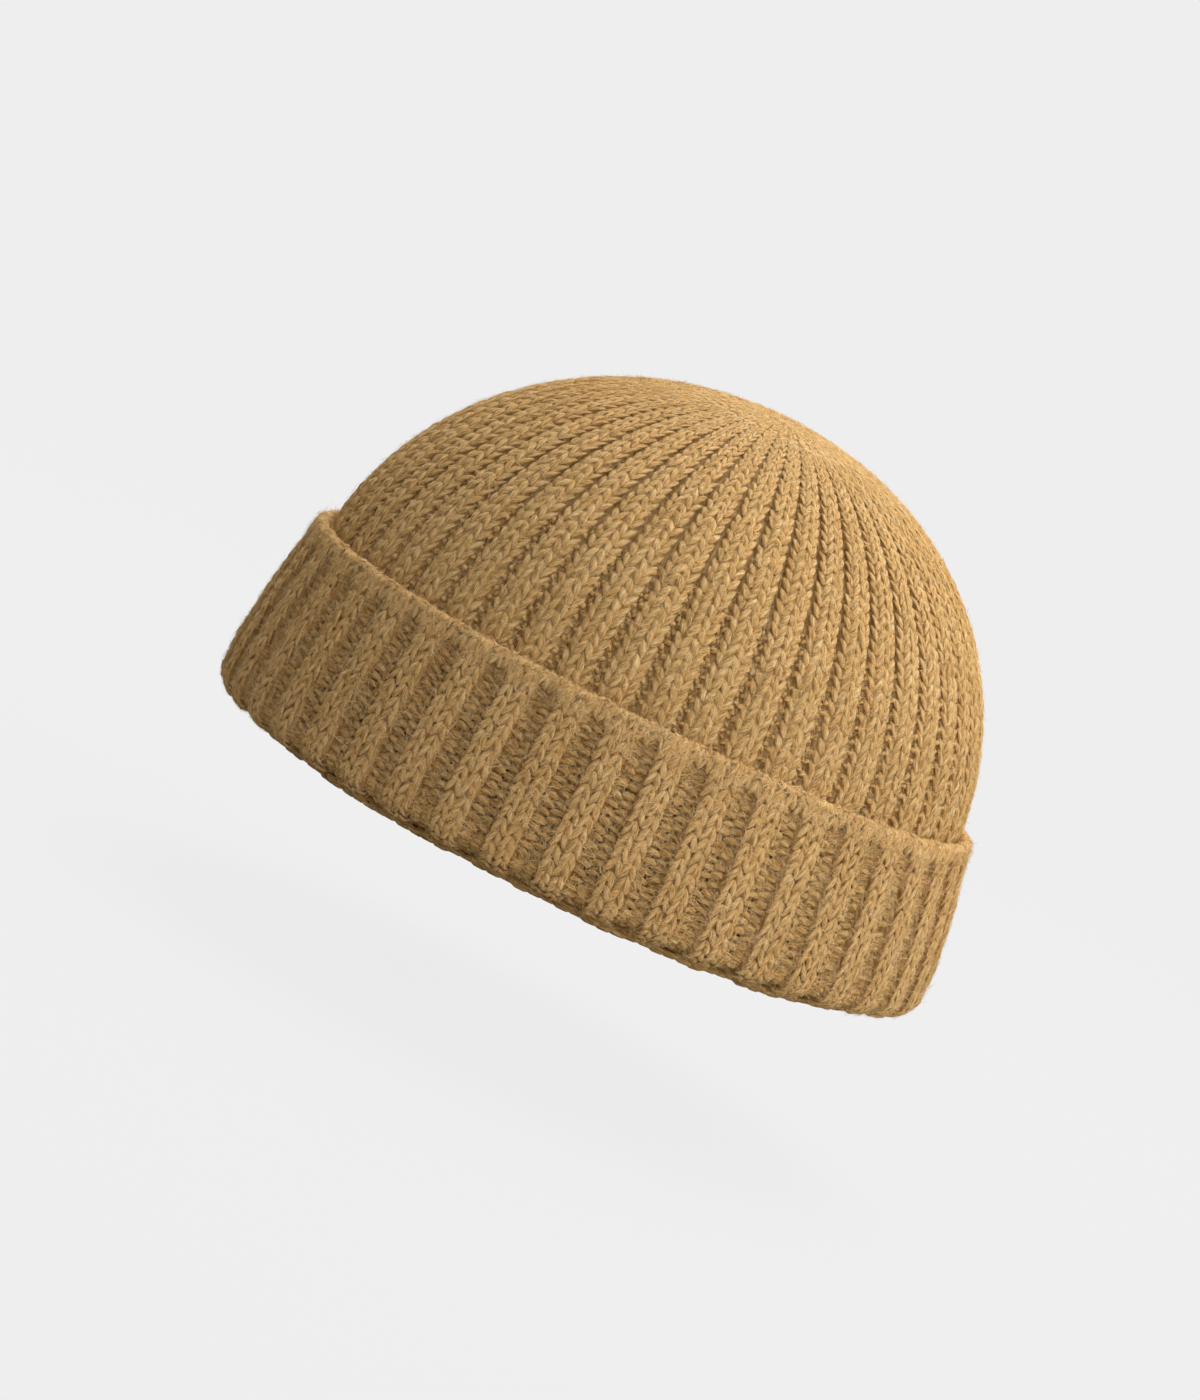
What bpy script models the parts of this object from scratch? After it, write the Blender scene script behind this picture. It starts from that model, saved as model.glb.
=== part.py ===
"""A rib-knit watch cap with a turn-up cuff, built at its real size in metres, +Z up.

The origin is the centre of the rim plane. The wearer's face is towards -Y and the seam at the back
is towards +Y. The knitted body is a ribbed tube that closes into a dome. The cuff is divided along
its furrows into ribs, and each rib turns about the fold at its own lower end.
"""

import math

import bmesh
import bpy
import numpy as np

# Body: a ribbed tube of one layer of knitting that closes into a dome
WALL_RADIUS = 0.0895  # to the crest of a rib
WALL_THICKNESS = 0.0040  # one layer of knitting
WALL_HEIGHT = 0.0400  # rim plane to where the dome starts
RIB_DEPTH = 0.0016  # crest to furrow
BODY_RIBS = 48
CROWN_RISE = 0.0870  # start of the dome to its top
CROWN_FULLNESS = 2.1  # 2 is an ellipse, more is squarer
CROWN_LEAN = 0.0031  # how far the top sits towards the back
RIM_HEIGHT = 0.0060
RIM_FOOT = 0.0024  # width of the flat lower face of the rim

# Crown: the gathered top and the yarn that draws it closed
CAP_RADIUS = 0.0280
CAP_HOLE_RADIUS = 0.0035
GATHER_YARN_RADIUS = 0.0010
KNOT_RADIUS = 0.0026

# Cuff: ribs that turn about the fold
CUFF_RIBS = 42
CUFF_HEIGHT = 0.0460  # fold axis to the upper edge
CUFF_RIB_DEPTH = 0.0015
FOLD_RADIUS = 0.0050  # half the thickness at the fold
EDGE_RADIUS = 0.0026  # half the thickness at the upper edge
FOLD_LIFT = 0.0025  # rim plane to the underside of the fold
CUFF_CLEARANCE = 0.0004  # between the cuff and the wall behind it
CUFF_RIB_GAP = 0.0003  # between one cuff rib and the next

# Inside of the back: the seam and the label
SEAM_RADIUS = 0.0012
SEAM_FOOT_HEIGHT = 0.0080
LABEL_WIDTH = 0.0280
LABEL_DROP = 0.0200
LABEL_THICKNESS = 0.0008
LABEL_HEIGHT = 0.0360  # rim plane to the sewn edge
TACK_WIDTH = 0.0012
TACK_HEIGHT = 0.0018

# Gap between pieces that lie on each other
SEAT_GAP = 0.0003

# Mesh fineness
POINTS_PER_RIB = 2
DOME_STATIONS = 7
CAP_STATIONS = 5
ARC_STEPS = 6
RING_STEPS = 20
TUBE_SIDES = 8

# Sizes that follow from those above
FOLD_AXIS_HEIGHT = FOLD_LIFT + FOLD_RADIUS
FOLD_AXIS_RADIUS = WALL_RADIUS + CUFF_CLEARANCE + FOLD_RADIUS
BACK_ANGLE = math.pi / 2
DOME_START = WALL_HEIGHT + SEAT_GAP
INNER_RADIUS = WALL_RADIUS - RIB_DEPTH - WALL_THICKNESS
SEAM_OFFSET = WALL_THICKNESS + SEAT_GAP + SEAM_RADIUS
LABEL_SETBACK = INNER_RADIUS - 2 * SEAT_GAP - 2 * SEAM_RADIUS - LABEL_THICKNESS / 2

# Finishes: colour as linear red, green and blue, then roughness
WOOL = (0.52, 0.33, 0.14), 0.95
WOOL_SHADED = (0.43, 0.27, 0.11), 0.95
YARN = (0.48, 0.30, 0.12), 0.9
THREAD = (0.50, 0.36, 0.20), 0.7
SATIN = (0.80, 0.76, 0.66), 0.45


def clear_scene():
    """Empties the scene and its meshes."""
    for old in list(bpy.data.objects):
        bpy.data.objects.remove(old, do_unlink=True)


def finish(name, look):
    """A plain Principled material from a colour and a roughness."""
    colour, roughness = look
    material = bpy.data.materials.new(name)
    material.use_nodes = True
    shader = material.node_tree.nodes["Principled BSDF"]
    shader.inputs["Base Color"].default_value = (*colour, 1.0)
    shader.inputs["Roughness"].default_value = roughness
    shader.inputs["Metallic"].default_value = 0.0
    return material


def lofted_mesh(name, sections, joined_round):
    """A closed mesh over sections, an array of (section, point, xyz) with each section a closed loop.

    The last section meets the first where joined_round is true, and otherwise both ends are capped.
    """
    count, points, _ = sections.shape
    mesh = bpy.data.meshes.new(name)
    shape = bmesh.new()
    rows = [[shape.verts.new(p) for p in section] for section in sections.tolist()]
    spans = count if joined_round else count - 1
    for i in range(spans):
        near, far = rows[i], rows[(i + 1) % count]
        for j in range(points):
            k = (j + 1) % points
            shape.faces.new((near[j], near[k], far[k], far[j]))
    if not joined_round:
        shape.faces.new(rows[0][::-1])
        shape.faces.new(rows[-1])
    bmesh.ops.recalc_face_normals(shape, faces=shape.faces)
    shape.to_mesh(mesh)
    shape.free()
    mesh.shade_smooth()
    mesh.set_sharp_from_angle(angle=math.radians(40))
    return mesh


def add_piece(name, mesh, material=None, place=(0.0, 0.0, 0.0), turn=0.0):
    """Puts a mesh into the scene as a named object at a place, turned about +Z."""
    if material:
        mesh.materials.append(material)
    piece = bpy.data.objects.new(name, mesh)
    piece.location = place
    piece.rotation_euler = (0.0, 0.0, turn)
    bpy.context.scene.collection.objects.link(piece)
    return piece


def rib_angles():
    """The angles round the body at which its surface is laid out, furrow first, and each one's share of rib depth."""
    count = BODY_RIBS * POINTS_PER_RIB
    steps = np.arange(count)
    angles = 2 * np.pi * steps / count
    furrow = 0.5 + 0.5 * np.cos(2 * np.pi * steps / POINTS_PER_RIB)
    return angles, furrow


def dome_curve(rise, depth):
    """Radius and height on the dome at rise, from 0 at its start to 1 at its top.

    depth is how far the point lies inside the surface through the crests of the ribs.
    """
    turn = rise * math.pi / 2
    power = 2 / CROWN_FULLNESS
    radius = (WALL_RADIUS - depth) * np.cos(turn) ** power
    height = DOME_START + (CROWN_RISE - SEAT_GAP - depth) * np.sin(turn) ** power
    return radius, height


def crown_shift(height):
    """How far the dome sits towards the back at a height."""
    share = np.clip((height - DOME_START) / CROWN_RISE, 0, 1)
    return CROWN_LEAN * share**2


def rise_at(radius):
    """The rise at which the dome through the rib crests has this radius."""
    return math.acos((radius / WALL_RADIUS) ** (CROWN_FULLNESS / 2)) * 2 / math.pi


def dome_band(name, start, end, stations):
    """A band of the dome from one rise to another, ribbed and one layer thick."""
    angles, furrow = rib_angles()
    rises = np.linspace(start, end, stations)
    loop_rises = np.concatenate([rises, rises[::-1]])
    layer = np.repeat([0.0, WALL_THICKNESS], stations)
    fade = np.cos(loop_rises * math.pi / 2)
    depth = layer[None, :] + RIB_DEPTH * fade[None, :] * furrow[:, None]
    radius, height = dome_curve(loop_rises[None, :], depth)
    x = radius * np.cos(angles)[:, None]
    y = radius * np.sin(angles)[:, None] + crown_shift(height)
    return lofted_mesh(name, np.stack([x, y, height], axis=2), joined_round=True)


def ribbed_ring(name, profile):
    """A ring with the body's ribs: profile lists (distance inside the rib crest, height)."""
    angles, furrow = rib_angles()
    inset, height = np.array(profile).T
    radius = WALL_RADIUS - inset[None, :] - RIB_DEPTH * furrow[:, None]
    x = radius * np.cos(angles)[:, None]
    y = radius * np.sin(angles)[:, None]
    z = np.broadcast_to(height, radius.shape)
    return lofted_mesh(name, np.stack([x, y, z], axis=2), joined_round=True)


def tube_mesh(name, path, radius, joined_round=False):
    """A round tube along path, an array of points that lie in one plane through the Z axis or across it."""
    path = np.asarray(path, float)
    if joined_round:
        along = np.roll(path, -1, axis=0) - np.roll(path, 1, axis=0)
        across = np.tile([0.0, 0.0, 1.0], (len(path), 1))
    else:
        along = np.gradient(path, axis=0)
        across = np.tile([1.0, 0.0, 0.0], (len(path), 1))
    along /= np.linalg.norm(along, axis=1, keepdims=True)
    third = np.cross(along, across)
    turn = 2 * np.pi * np.arange(TUBE_SIDES) / TUBE_SIDES
    ring = np.cos(turn)[None, :, None] * across[:, None, :] + np.sin(turn)[None, :, None] * third[:, None, :]
    return lofted_mesh(name, path[:, None, :] + radius * ring, joined_round)


def build_body():
    """The knitted tube: rim, side wall, dome and gathered cap."""
    middle = WALL_THICKNESS / 2
    foot = RIM_FOOT / 2
    rim_profile = [
        (0.0, RIM_HEIGHT),
        (0.0, RIM_HEIGHT / 2),
        (middle - foot, 0.0),
        (middle + foot, 0.0),
        (WALL_THICKNESS, RIM_HEIGHT / 2),
        (WALL_THICKNESS, RIM_HEIGHT),
    ]
    add_piece("rim_roll", ribbed_ring("rim_roll", rim_profile), finish("rim_wool", WOOL_SHADED))

    wall_foot = RIM_HEIGHT + SEAT_GAP
    wall_profile = [
        (0.0, WALL_HEIGHT),
        (0.0, wall_foot),
        (WALL_THICKNESS, wall_foot),
        (WALL_THICKNESS, WALL_HEIGHT),
    ]
    add_piece("side_wall", ribbed_ring("side_wall", wall_profile), finish("wall_wool", WOOL))

    split = rise_at(CAP_RADIUS)
    dome = dome_band("crown_dome", 0.0, split, DOME_STATIONS)
    add_piece("crown_dome", dome, finish("dome_wool", WOOL))
    cap = dome_band("crown_cap", rise_at(CAP_RADIUS - SEAT_GAP), rise_at(CAP_HOLE_RADIUS), CAP_STATIONS)
    add_piece("crown_cap", cap, finish("cap_wool", WOOL))


def build_crown_closing():
    """The ring of yarn that draws the top closed and its knot below."""
    _, under = dome_curve(1.0, WALL_THICKNESS)
    ring_height = under + WALL_THICKNESS / 2
    shift = crown_shift(ring_height)
    turn = 2 * np.pi * np.arange(RING_STEPS) / RING_STEPS
    ring_radius = CAP_HOLE_RADIUS - SEAT_GAP - GATHER_YARN_RADIUS
    path = np.stack(
        [ring_radius * np.cos(turn), shift + ring_radius * np.sin(turn), np.full(RING_STEPS, ring_height)],
        axis=1,
    )
    ring = tube_mesh("crown_gather_yarn", path, GATHER_YARN_RADIUS, joined_round=True)
    add_piece("crown_gather_yarn", ring, finish("gather_yarn", YARN))

    mesh = bpy.data.meshes.new("crown_knot")
    shape = bmesh.new()
    bmesh.ops.create_icosphere(shape, subdivisions=2, radius=KNOT_RADIUS)
    shape.to_mesh(mesh)
    shape.free()
    mesh.shade_smooth()
    knot_height = ring_height - GATHER_YARN_RADIUS - SEAT_GAP - KNOT_RADIUS
    add_piece("crown_knot", mesh, finish("knot_yarn", YARN), (0.0, shift, knot_height))


def build_back_seam():
    """The joining ridge up the inside of the back, lying on the furrow's inner side."""
    rises = np.linspace(0.0, rise_at(CAP_RADIUS), DOME_STATIONS)
    depth = RIB_DEPTH * np.cos(rises * math.pi / 2) + SEAM_OFFSET
    radius, height = dome_curve(rises, depth)
    radius = np.concatenate([[radius[0]], radius])
    height = np.concatenate([[SEAM_FOOT_HEIGHT], height])
    path = np.stack([np.zeros_like(radius), radius + crown_shift(height), height], axis=1)
    add_piece("back_seam", tube_mesh("back_seam", path, SEAM_RADIUS), finish("seam_thread", THREAD))


def build_label():
    """The blank label, hung from its sewn upper edge, and the thread tacks at its upper corners."""
    half = LABEL_THICKNESS / 2
    turn = np.linspace(0.0, np.pi, ARC_STEPS + 1)
    rounded = [(half * math.cos(a), half * math.sin(a)) for a in turn]
    outline = rounded + [(-half, -LABEL_DROP), (half, -LABEL_DROP)]
    ends = np.array([-LABEL_WIDTH / 2, LABEL_WIDTH / 2])
    sections = np.array([[(x, y, z) for y, z in outline] for x in ends])
    label = lofted_mesh("care_label", sections, joined_round=False)
    add_piece("care_label", label, finish("label_satin", SATIN), (0.0, LABEL_SETBACK, LABEL_HEIGHT))

    for side, name in ((-1, "label_tack_left"), (1, "label_tack_right")):
        near = LABEL_WIDTH / 2 + SEAT_GAP
        far = near + TACK_WIDTH
        reach = math.sqrt((INNER_RADIUS - SEAT_GAP) ** 2 - far**2)
        mesh = bpy.data.meshes.new(name)
        shape = bmesh.new()
        bmesh.ops.create_cube(shape, size=1.0)
        size = (TACK_WIDTH, reach - LABEL_SETBACK + half, TACK_HEIGHT)
        bmesh.ops.scale(shape, vec=size, verts=shape.verts)
        bmesh.ops.bevel(shape, geom=shape.edges, offset=min(size) / 4, segments=1, affect="EDGES")
        shape.to_mesh(mesh)
        shape.free()
        centre = (side * (near + far) / 2, (reach + LABEL_SETBACK - half) / 2, LABEL_HEIGHT)
        add_piece(name, mesh, finish(f"{name}_thread", THREAD), centre)


def cuff_rib_profile(outer_trim, inner_trim):
    """The side view of a cuff rib as (outward, up) points from the fold axis: a capsule that tapers upwards.

    Its inner side stands upright. The trims thin the outer and the inner side for the furrows.
    """
    fold = np.linspace(0.0, -np.pi, ARC_STEPS + 1)
    edge = np.linspace(np.pi, 0.0, ARC_STEPS + 1)
    ends = ((fold, FOLD_RADIUS, (0.0, 0.0)), (edge, EDGE_RADIUS, edge_centre()))
    points = []
    for turn, radius, centre in ends:
        outward, up = np.cos(turn), np.sin(turn)
        trim = outer_trim * np.clip(outward, 0, 1) + inner_trim * np.clip(-outward, 0, 1)
        points.append(np.stack([centre[0] + (radius - trim) * outward, centre[1] + radius * up], axis=1))
    return np.concatenate(points)


def edge_centre():
    """Where the rounding of the cuff's upper edge is centred, from the fold axis."""
    return EDGE_RADIUS - FOLD_RADIUS, CUFF_HEIGHT - EDGE_RADIUS


def cuff_rib_mesh():
    """One rib of the cuff: a crest outside with a furrow's half on each side, and the reverse inside.

    Its width leaves a gap to the next rib all the way round the turn. The turn brings a point above the
    fold axis no nearer to the middle than its own offset from the axis, and one below it no nearer than
    its distance from the axis.
    """
    crest = cuff_rib_profile(0.0, CUFF_RIB_DEPTH)
    furrow = cuff_rib_profile(CUFF_RIB_DEPTH, 0.0)
    sections = []
    for profile, share in ((furrow, -1.0), (crest, -0.5), (crest, 0.5), (furrow, 1.0)):
        outward, up = profile.T
        reach = FOLD_AXIS_RADIUS - np.hypot(outward, np.minimum(up, 0.0))
        half_width = reach * math.tan(math.pi / CUFF_RIBS) - CUFF_RIB_GAP / 2
        sections.append(np.stack([outward, share * half_width, up], axis=1))
    return lofted_mesh("cuff_rib", np.array(sections), joined_round=False)


def build_cuff():
    """The ring of cuff ribs, each placed with its origin on its fold axis."""
    mesh = cuff_rib_mesh()
    mesh.materials.append(finish("cuff_wool", WOOL))
    for number in range(CUFF_RIBS):
        turn = 2 * math.pi * number / CUFF_RIBS
        place = (FOLD_AXIS_RADIUS * math.cos(turn), FOLD_AXIS_RADIUS * math.sin(turn), FOLD_AXIS_HEIGHT)
        add_piece(f"cuff_rib_{number + 1:02d}", mesh, place=place, turn=turn)


clear_scene()
build_body()
build_crown_closing()
build_back_seam()
build_label()
build_cuff()
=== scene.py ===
"""The looks of a rib-knit watch cap with a turn-up cuff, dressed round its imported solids.

Every visible stitch is a strand of yarn with its own shape. A profile of the cap is carried round its
axis, and each strand's middle line is laid out on that surface by three numbers: the angle round the
axis, the arc length along the profile and the lift off the surface.
"""

import logging
import math
from collections.abc import Callable, Sequence
from dataclasses import dataclass, field
from enum import Enum

import bpy
import numpy as np
from mathutils import Matrix, Vector

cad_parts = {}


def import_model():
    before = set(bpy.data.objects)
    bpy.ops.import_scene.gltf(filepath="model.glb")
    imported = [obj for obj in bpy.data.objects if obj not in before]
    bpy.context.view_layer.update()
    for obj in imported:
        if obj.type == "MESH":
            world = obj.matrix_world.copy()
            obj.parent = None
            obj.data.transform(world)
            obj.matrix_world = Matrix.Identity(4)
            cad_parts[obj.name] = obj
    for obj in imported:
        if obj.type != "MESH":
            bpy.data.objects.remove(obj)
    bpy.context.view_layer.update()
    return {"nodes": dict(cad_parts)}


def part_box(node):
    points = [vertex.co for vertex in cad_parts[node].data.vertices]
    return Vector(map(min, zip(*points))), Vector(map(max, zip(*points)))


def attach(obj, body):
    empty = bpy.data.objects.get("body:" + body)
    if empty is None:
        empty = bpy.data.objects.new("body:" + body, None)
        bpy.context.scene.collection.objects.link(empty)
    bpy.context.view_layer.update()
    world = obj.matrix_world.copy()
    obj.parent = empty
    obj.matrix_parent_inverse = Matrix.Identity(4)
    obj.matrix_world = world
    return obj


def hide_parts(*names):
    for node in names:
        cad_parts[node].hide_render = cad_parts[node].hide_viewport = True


Array = np.ndarray
Socket = bpy.types.NodeSocket

LOG = logging.getLogger("watch_cap")
MM = 0.001
STITCH_MAP = "stitch"
TONE = "tone"
SHELL_MAP = (0.3, 0.7)  # steps of the stitch map from one line of a grid surface to the next
YARN_LENGTH = 60.0  # millimetres of yarn that the strands' stitch maps start along


def linear(code: str) -> tuple[float, float, float, float]:
    """An sRGB hex colour as linear red, green, blue and full alpha.

    Args:
        code: The colour as "#RRGGBB".

    Returns:
        The linear colour, ready for a shader's colour socket.
    """
    values = np.array([int(code[place : place + 2], 16) for place in (1, 3, 5)]) / 255
    low, high = values / 12.92, ((values + 0.055) / 1.055) ** 2.4
    return (*np.where(values <= 0.04045, low, high).tolist(), 1.0)


def set_inputs(tree: bpy.types.NodeTree, node: bpy.types.Node, inputs: dict) -> None:
    """Sets a node's inputs to values, or links them.

    Args:
        tree: The node's tree.
        node: The node.
        inputs: A value or a socket to link from, by the name or number of the node's input.
    """
    for name, value in inputs.items():
        if isinstance(value, Socket):
            tree.links.new(value, node.inputs[name])
        else:
            node.inputs[name].default_value = value


def add_node(
    tree: bpy.types.NodeTree, kind: str, inputs: dict | None = None, **settings: object
) -> bpy.types.Node:
    """Adds a node with its settings, values and links.

    Args:
        tree: The node tree that gets the node.
        kind: The node's type name.
        inputs: A value or a socket to link from, by the name or number of the node's input.
        settings: The node's own properties.

    Returns:
        The new node.
    """
    node = tree.nodes.new(kind)
    for name, value in settings.items():
        setattr(node, name, value)
    set_inputs(tree, node, inputs or {})
    return node


def start_material(name: str) -> tuple[bpy.types.Material, bpy.types.NodeTree, bpy.types.Node]:
    """Starts a material with nodes.

    Args:
        name: The material's name.

    Returns:
        The material, its node tree and the tree's Principled shader.
    """
    material = bpy.data.materials.new(name)
    material.use_nodes = True
    return material, material.node_tree, material.node_tree.nodes["Principled BSDF"]


def smooth_step(values: Array, low: float, high: float) -> Array:
    """Eases from 0 at low to 1 at high.

    Args:
        values: The numbers to ease.
        low: Where the step starts.
        high: Where the step ends.

    Returns:
        The eased numbers, t * t * (3 - 2 * t) of their place t between low and high.
    """
    place = np.clip((values - low) / (high - low), 0.0, 1.0)
    return place * place * (3 - 2 * place)


def unit(vectors: Array) -> Array:
    """The vectors along the last axis at length 1."""
    return vectors / np.maximum(np.linalg.norm(vectors, axis=-1, keepdims=True), 1e-12)


@dataclass(frozen=True)
class CamelWool:
    """Carded woollen yarn, two plies twisted together and dyed a warm camel.

    The eye gets a matt, slightly downy surface: each ply shows as a slanted ridge with painted shade in the
    groove between plies, loose fibres streak it lengthwise in their own colours and with painted shade
    between them, and the dye varies a little from strand to strand and over the cap. A strand's tone also
    carries the painted shade of strands that lie in shade.
    """

    name: str = "camel_wool"
    deep: str = "#8A6331"
    body: str = "#D0A76A"
    pale: str = "#F3D7A3"
    bloom: str = "#EACB94"
    ply_length: float = 14.0  # millimetres of yarn for one full turn of the plies
    streaks_round: float = 13.0  # bundles of fibres round a strand
    streak_length: float = 1.5  # millimetres
    strand_step: float = 40.0  # sets the streaks of strands with different tones apart
    patch_size: float = 24 * MM
    tone_share: float = 0.08  # how much the strand's tone (which also carries painted shade), the streaks, patches and plies lighten the yarn; plies: painted shade in their grooves; streaks: fibre colour and painted shade
    streak_tone_and_shade: float = 1.9
    patch_share: float = 0.22
    ply_groove_shade: float = 0.20
    shade_drop: float = 0.72
    ply_ridge: float = 0.7  # how much the plies and the streaks raise the yarn
    streak_ridge: float = 1.6
    ridge_height: float = 0.30 * MM
    sheen: float = 0.2
    glow: float = 0.8
    glow_depth: float = 1.1 * MM  # how far light wanders between the fibres

    def material(self) -> bpy.types.Material:
        """Makes the material.

        The plies are the size of a sine of the turns round and along the strand, and their grooves are
        painted
        darker: painted shade. The streaks are noise drawn out along the plies, partly the fibres' own
        colour, partly painted shade between raised bundles, since the same noise raises the yarn.

        Returns:
            A material whose pattern follows each strand by its stitch map: u once round the strand and
            v along it in millimetres.
        """
        material, tree, shader = start_material(self.name)
        stitch = add_node(tree, "ShaderNodeUVMap", uv_map=STITCH_MAP).outputs["UV"]
        around, along = add_node(tree, "ShaderNodeSeparateXYZ", {0: stitch}).outputs[:2]
        tone = add_node(tree, "ShaderNodeAttribute", attribute_name=TONE).outputs["Fac"]
        place = add_node(tree, "ShaderNodeTexCoord").outputs["Object"]

        twist = add_node(tree, "ShaderNodeMath", {0: along, 1: 2 / self.ply_length}, operation="MULTIPLY")
        turns = add_node(tree, "ShaderNodeMath", {
            0: around, 1: 2.0, 2: twist.outputs[0],
        }, operation="MULTIPLY_ADD").outputs[0]
        half_turns = add_node(tree, "ShaderNodeMath", {0: turns, 1: math.pi}, operation="MULTIPLY")
        wave = add_node(tree, "ShaderNodeMath", {0: half_turns.outputs[0]}, operation="SINE")
        ply = add_node(tree, "ShaderNodeMath", {0: wave.outputs[0]}, operation="ABSOLUTE").outputs[0]
        lie = add_node(tree, "ShaderNodeCombineXYZ", {0: turns, 1: along, 2: tone}).outputs[0]
        fine = add_node(tree, "ShaderNodeVectorMath", {
            0: lie, 1: (self.streaks_round / 2, 1 / self.streak_length, self.strand_step),
        }, operation="MULTIPLY").outputs[0]
        streaks = add_node(tree, "ShaderNodeTexNoise", {
            "Vector": fine, "Scale": 1.0, "Detail": 3.0, "Roughness": 0.65, "Distortion": 0.7,
        }).outputs["Fac"]
        patches = add_node(tree, "ShaderNodeTexNoise", {
            "Vector": place, "Scale": 1 / self.patch_size, "Detail": 3.0, "Roughness": 0.6,
        }).outputs["Fac"]

        # The plies' term paints shade into the grooves between plies; the streaks' term is partly fibre
        # colour, partly painted shade where the streaks lie lower.
        lighter = (
            (tone, self.tone_share), (streaks, self.streak_tone_and_shade),
            (patches, self.patch_share), (ply, self.ply_groove_shade),
        )
        higher = ((ply, self.ply_ridge), (streaks, self.streak_ridge))
        sums: list[Socket | float] = [-self.shade_drop, 0.0]
        for which, shares in enumerate((lighter, higher)):
            for amount, share in shares:
                sums[which] = add_node(tree, "ShaderNodeMath", {
                    0: amount, 1: share, 2: sums[which],
                }, operation="MULTIPLY_ADD").outputs[0]
        shade, height = sums
        ramp = add_node(tree, "ShaderNodeValToRGB", {0: shade})
        colours = ((0.05, self.deep), (0.50, self.body), (0.95, self.pale))
        stops = ramp.color_ramp.elements
        stops.new(colours[1][0])
        for stop, (where, code) in zip(stops, colours):
            stop.position, stop.color = where, linear(code)
        bump = add_node(tree, "ShaderNodeBump", {
            "Height": height, "Strength": 0.5, "Distance": self.ridge_height,
        }).outputs[0]
        shader.subsurface_method = "BURLEY"
        set_inputs(tree, shader, {
            "Base Color": ramp.outputs[0], "Normal": bump, "Roughness": 0.92, "Specular IOR Level": 0.15,
            "Subsurface Weight": self.glow, "Subsurface Radius": (1.0, 0.80, 0.52),
            "Subsurface Scale": self.glow_depth, "Sheen Weight": self.sheen, "Sheen Roughness": 0.45,
            "Sheen Tint": linear(self.bloom),
        })
        return material


@dataclass(frozen=True)
class LooseFibre:
    """Single wool fibres that stand off the yarn, painted paler than the yarn: partly the fibres' own
    lighter colour, partly painted light for the light that passes through them.
    """

    name: str = "loose_fibre"
    # Both colours are partly painted light: pale for the light that passes through the fibres.
    root: str = "#E2BC7E"
    end: str = "#FCE3B4"

    def material(self) -> bpy.types.Material:
        """Makes the material.

        Returns:
            A material whose colour runs from one fibre to the next by its tone.
        """
        material, tree, shader = start_material(self.name)
        tone = add_node(tree, "ShaderNodeAttribute", attribute_name=TONE).outputs["Fac"]
        ramp = add_node(tree, "ShaderNodeValToRGB", {0: tone})
        for stop, code in zip(ramp.color_ramp.elements, (self.root, self.end)):
            stop.color = linear(code)
        set_inputs(tree, shader, {
            "Base Color": ramp.outputs[0], "Roughness": 0.8, "Specular IOR Level": 0.0,
        })
        return material


@dataclass(frozen=True)
class LabelSatin:
    """Woven polyester satin tape: close warp threads with a soft gloss, left blank."""

    name: str = "label_satin"
    warp: str = "#E9E1CF"
    pale_warp: str = "#F1EBDD"
    weft: str = "#D6CBB4"
    thread: float = 0.42 * MM  # coarser than the real tape, so that the weave shows
    float_threads: int = 4  # how many threads a warp thread passes over at a time
    weave_height: float = 0.08 * MM

    def material(self) -> bpy.types.Material:
        """Makes the material: a satin weave whose floats run across the tape.

        Returns:
            A material on Object coordinates, because the label lies flat in the cap's frame.
        """
        material, tree, shader = start_material(self.name)
        place = add_node(tree, "ShaderNodeTexCoord").outputs["Object"]
        turned = add_node(tree, "ShaderNodeMapping", {
            "Vector": place, "Rotation": (math.pi / 2, 0.0, 0.0),
        }).outputs[0]
        weave = add_node(tree, "ShaderNodeTexBrick", {
            "Vector": turned, "Color1": linear(self.warp), "Color2": linear(self.pale_warp),
            "Mortar": linear(self.weft), "Scale": 1.0, "Mortar Size": 0.12 * self.thread,
            "Mortar Smooth": 0.6, "Brick Width": self.float_threads * self.thread,
            "Row Height": self.thread,
        }, offset=0.4, offset_frequency=1)
        bump = add_node(tree, "ShaderNodeBump", {
            "Height": weave.outputs["Fac"], "Strength": 0.5, "Distance": self.weave_height,
        }, invert=True).outputs[0]
        set_inputs(tree, shader, {
            "Base Color": weave.outputs["Color"], "Normal": bump, "Roughness": 0.38, "Sheen Weight": 0.2,
        })
        return material


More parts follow.
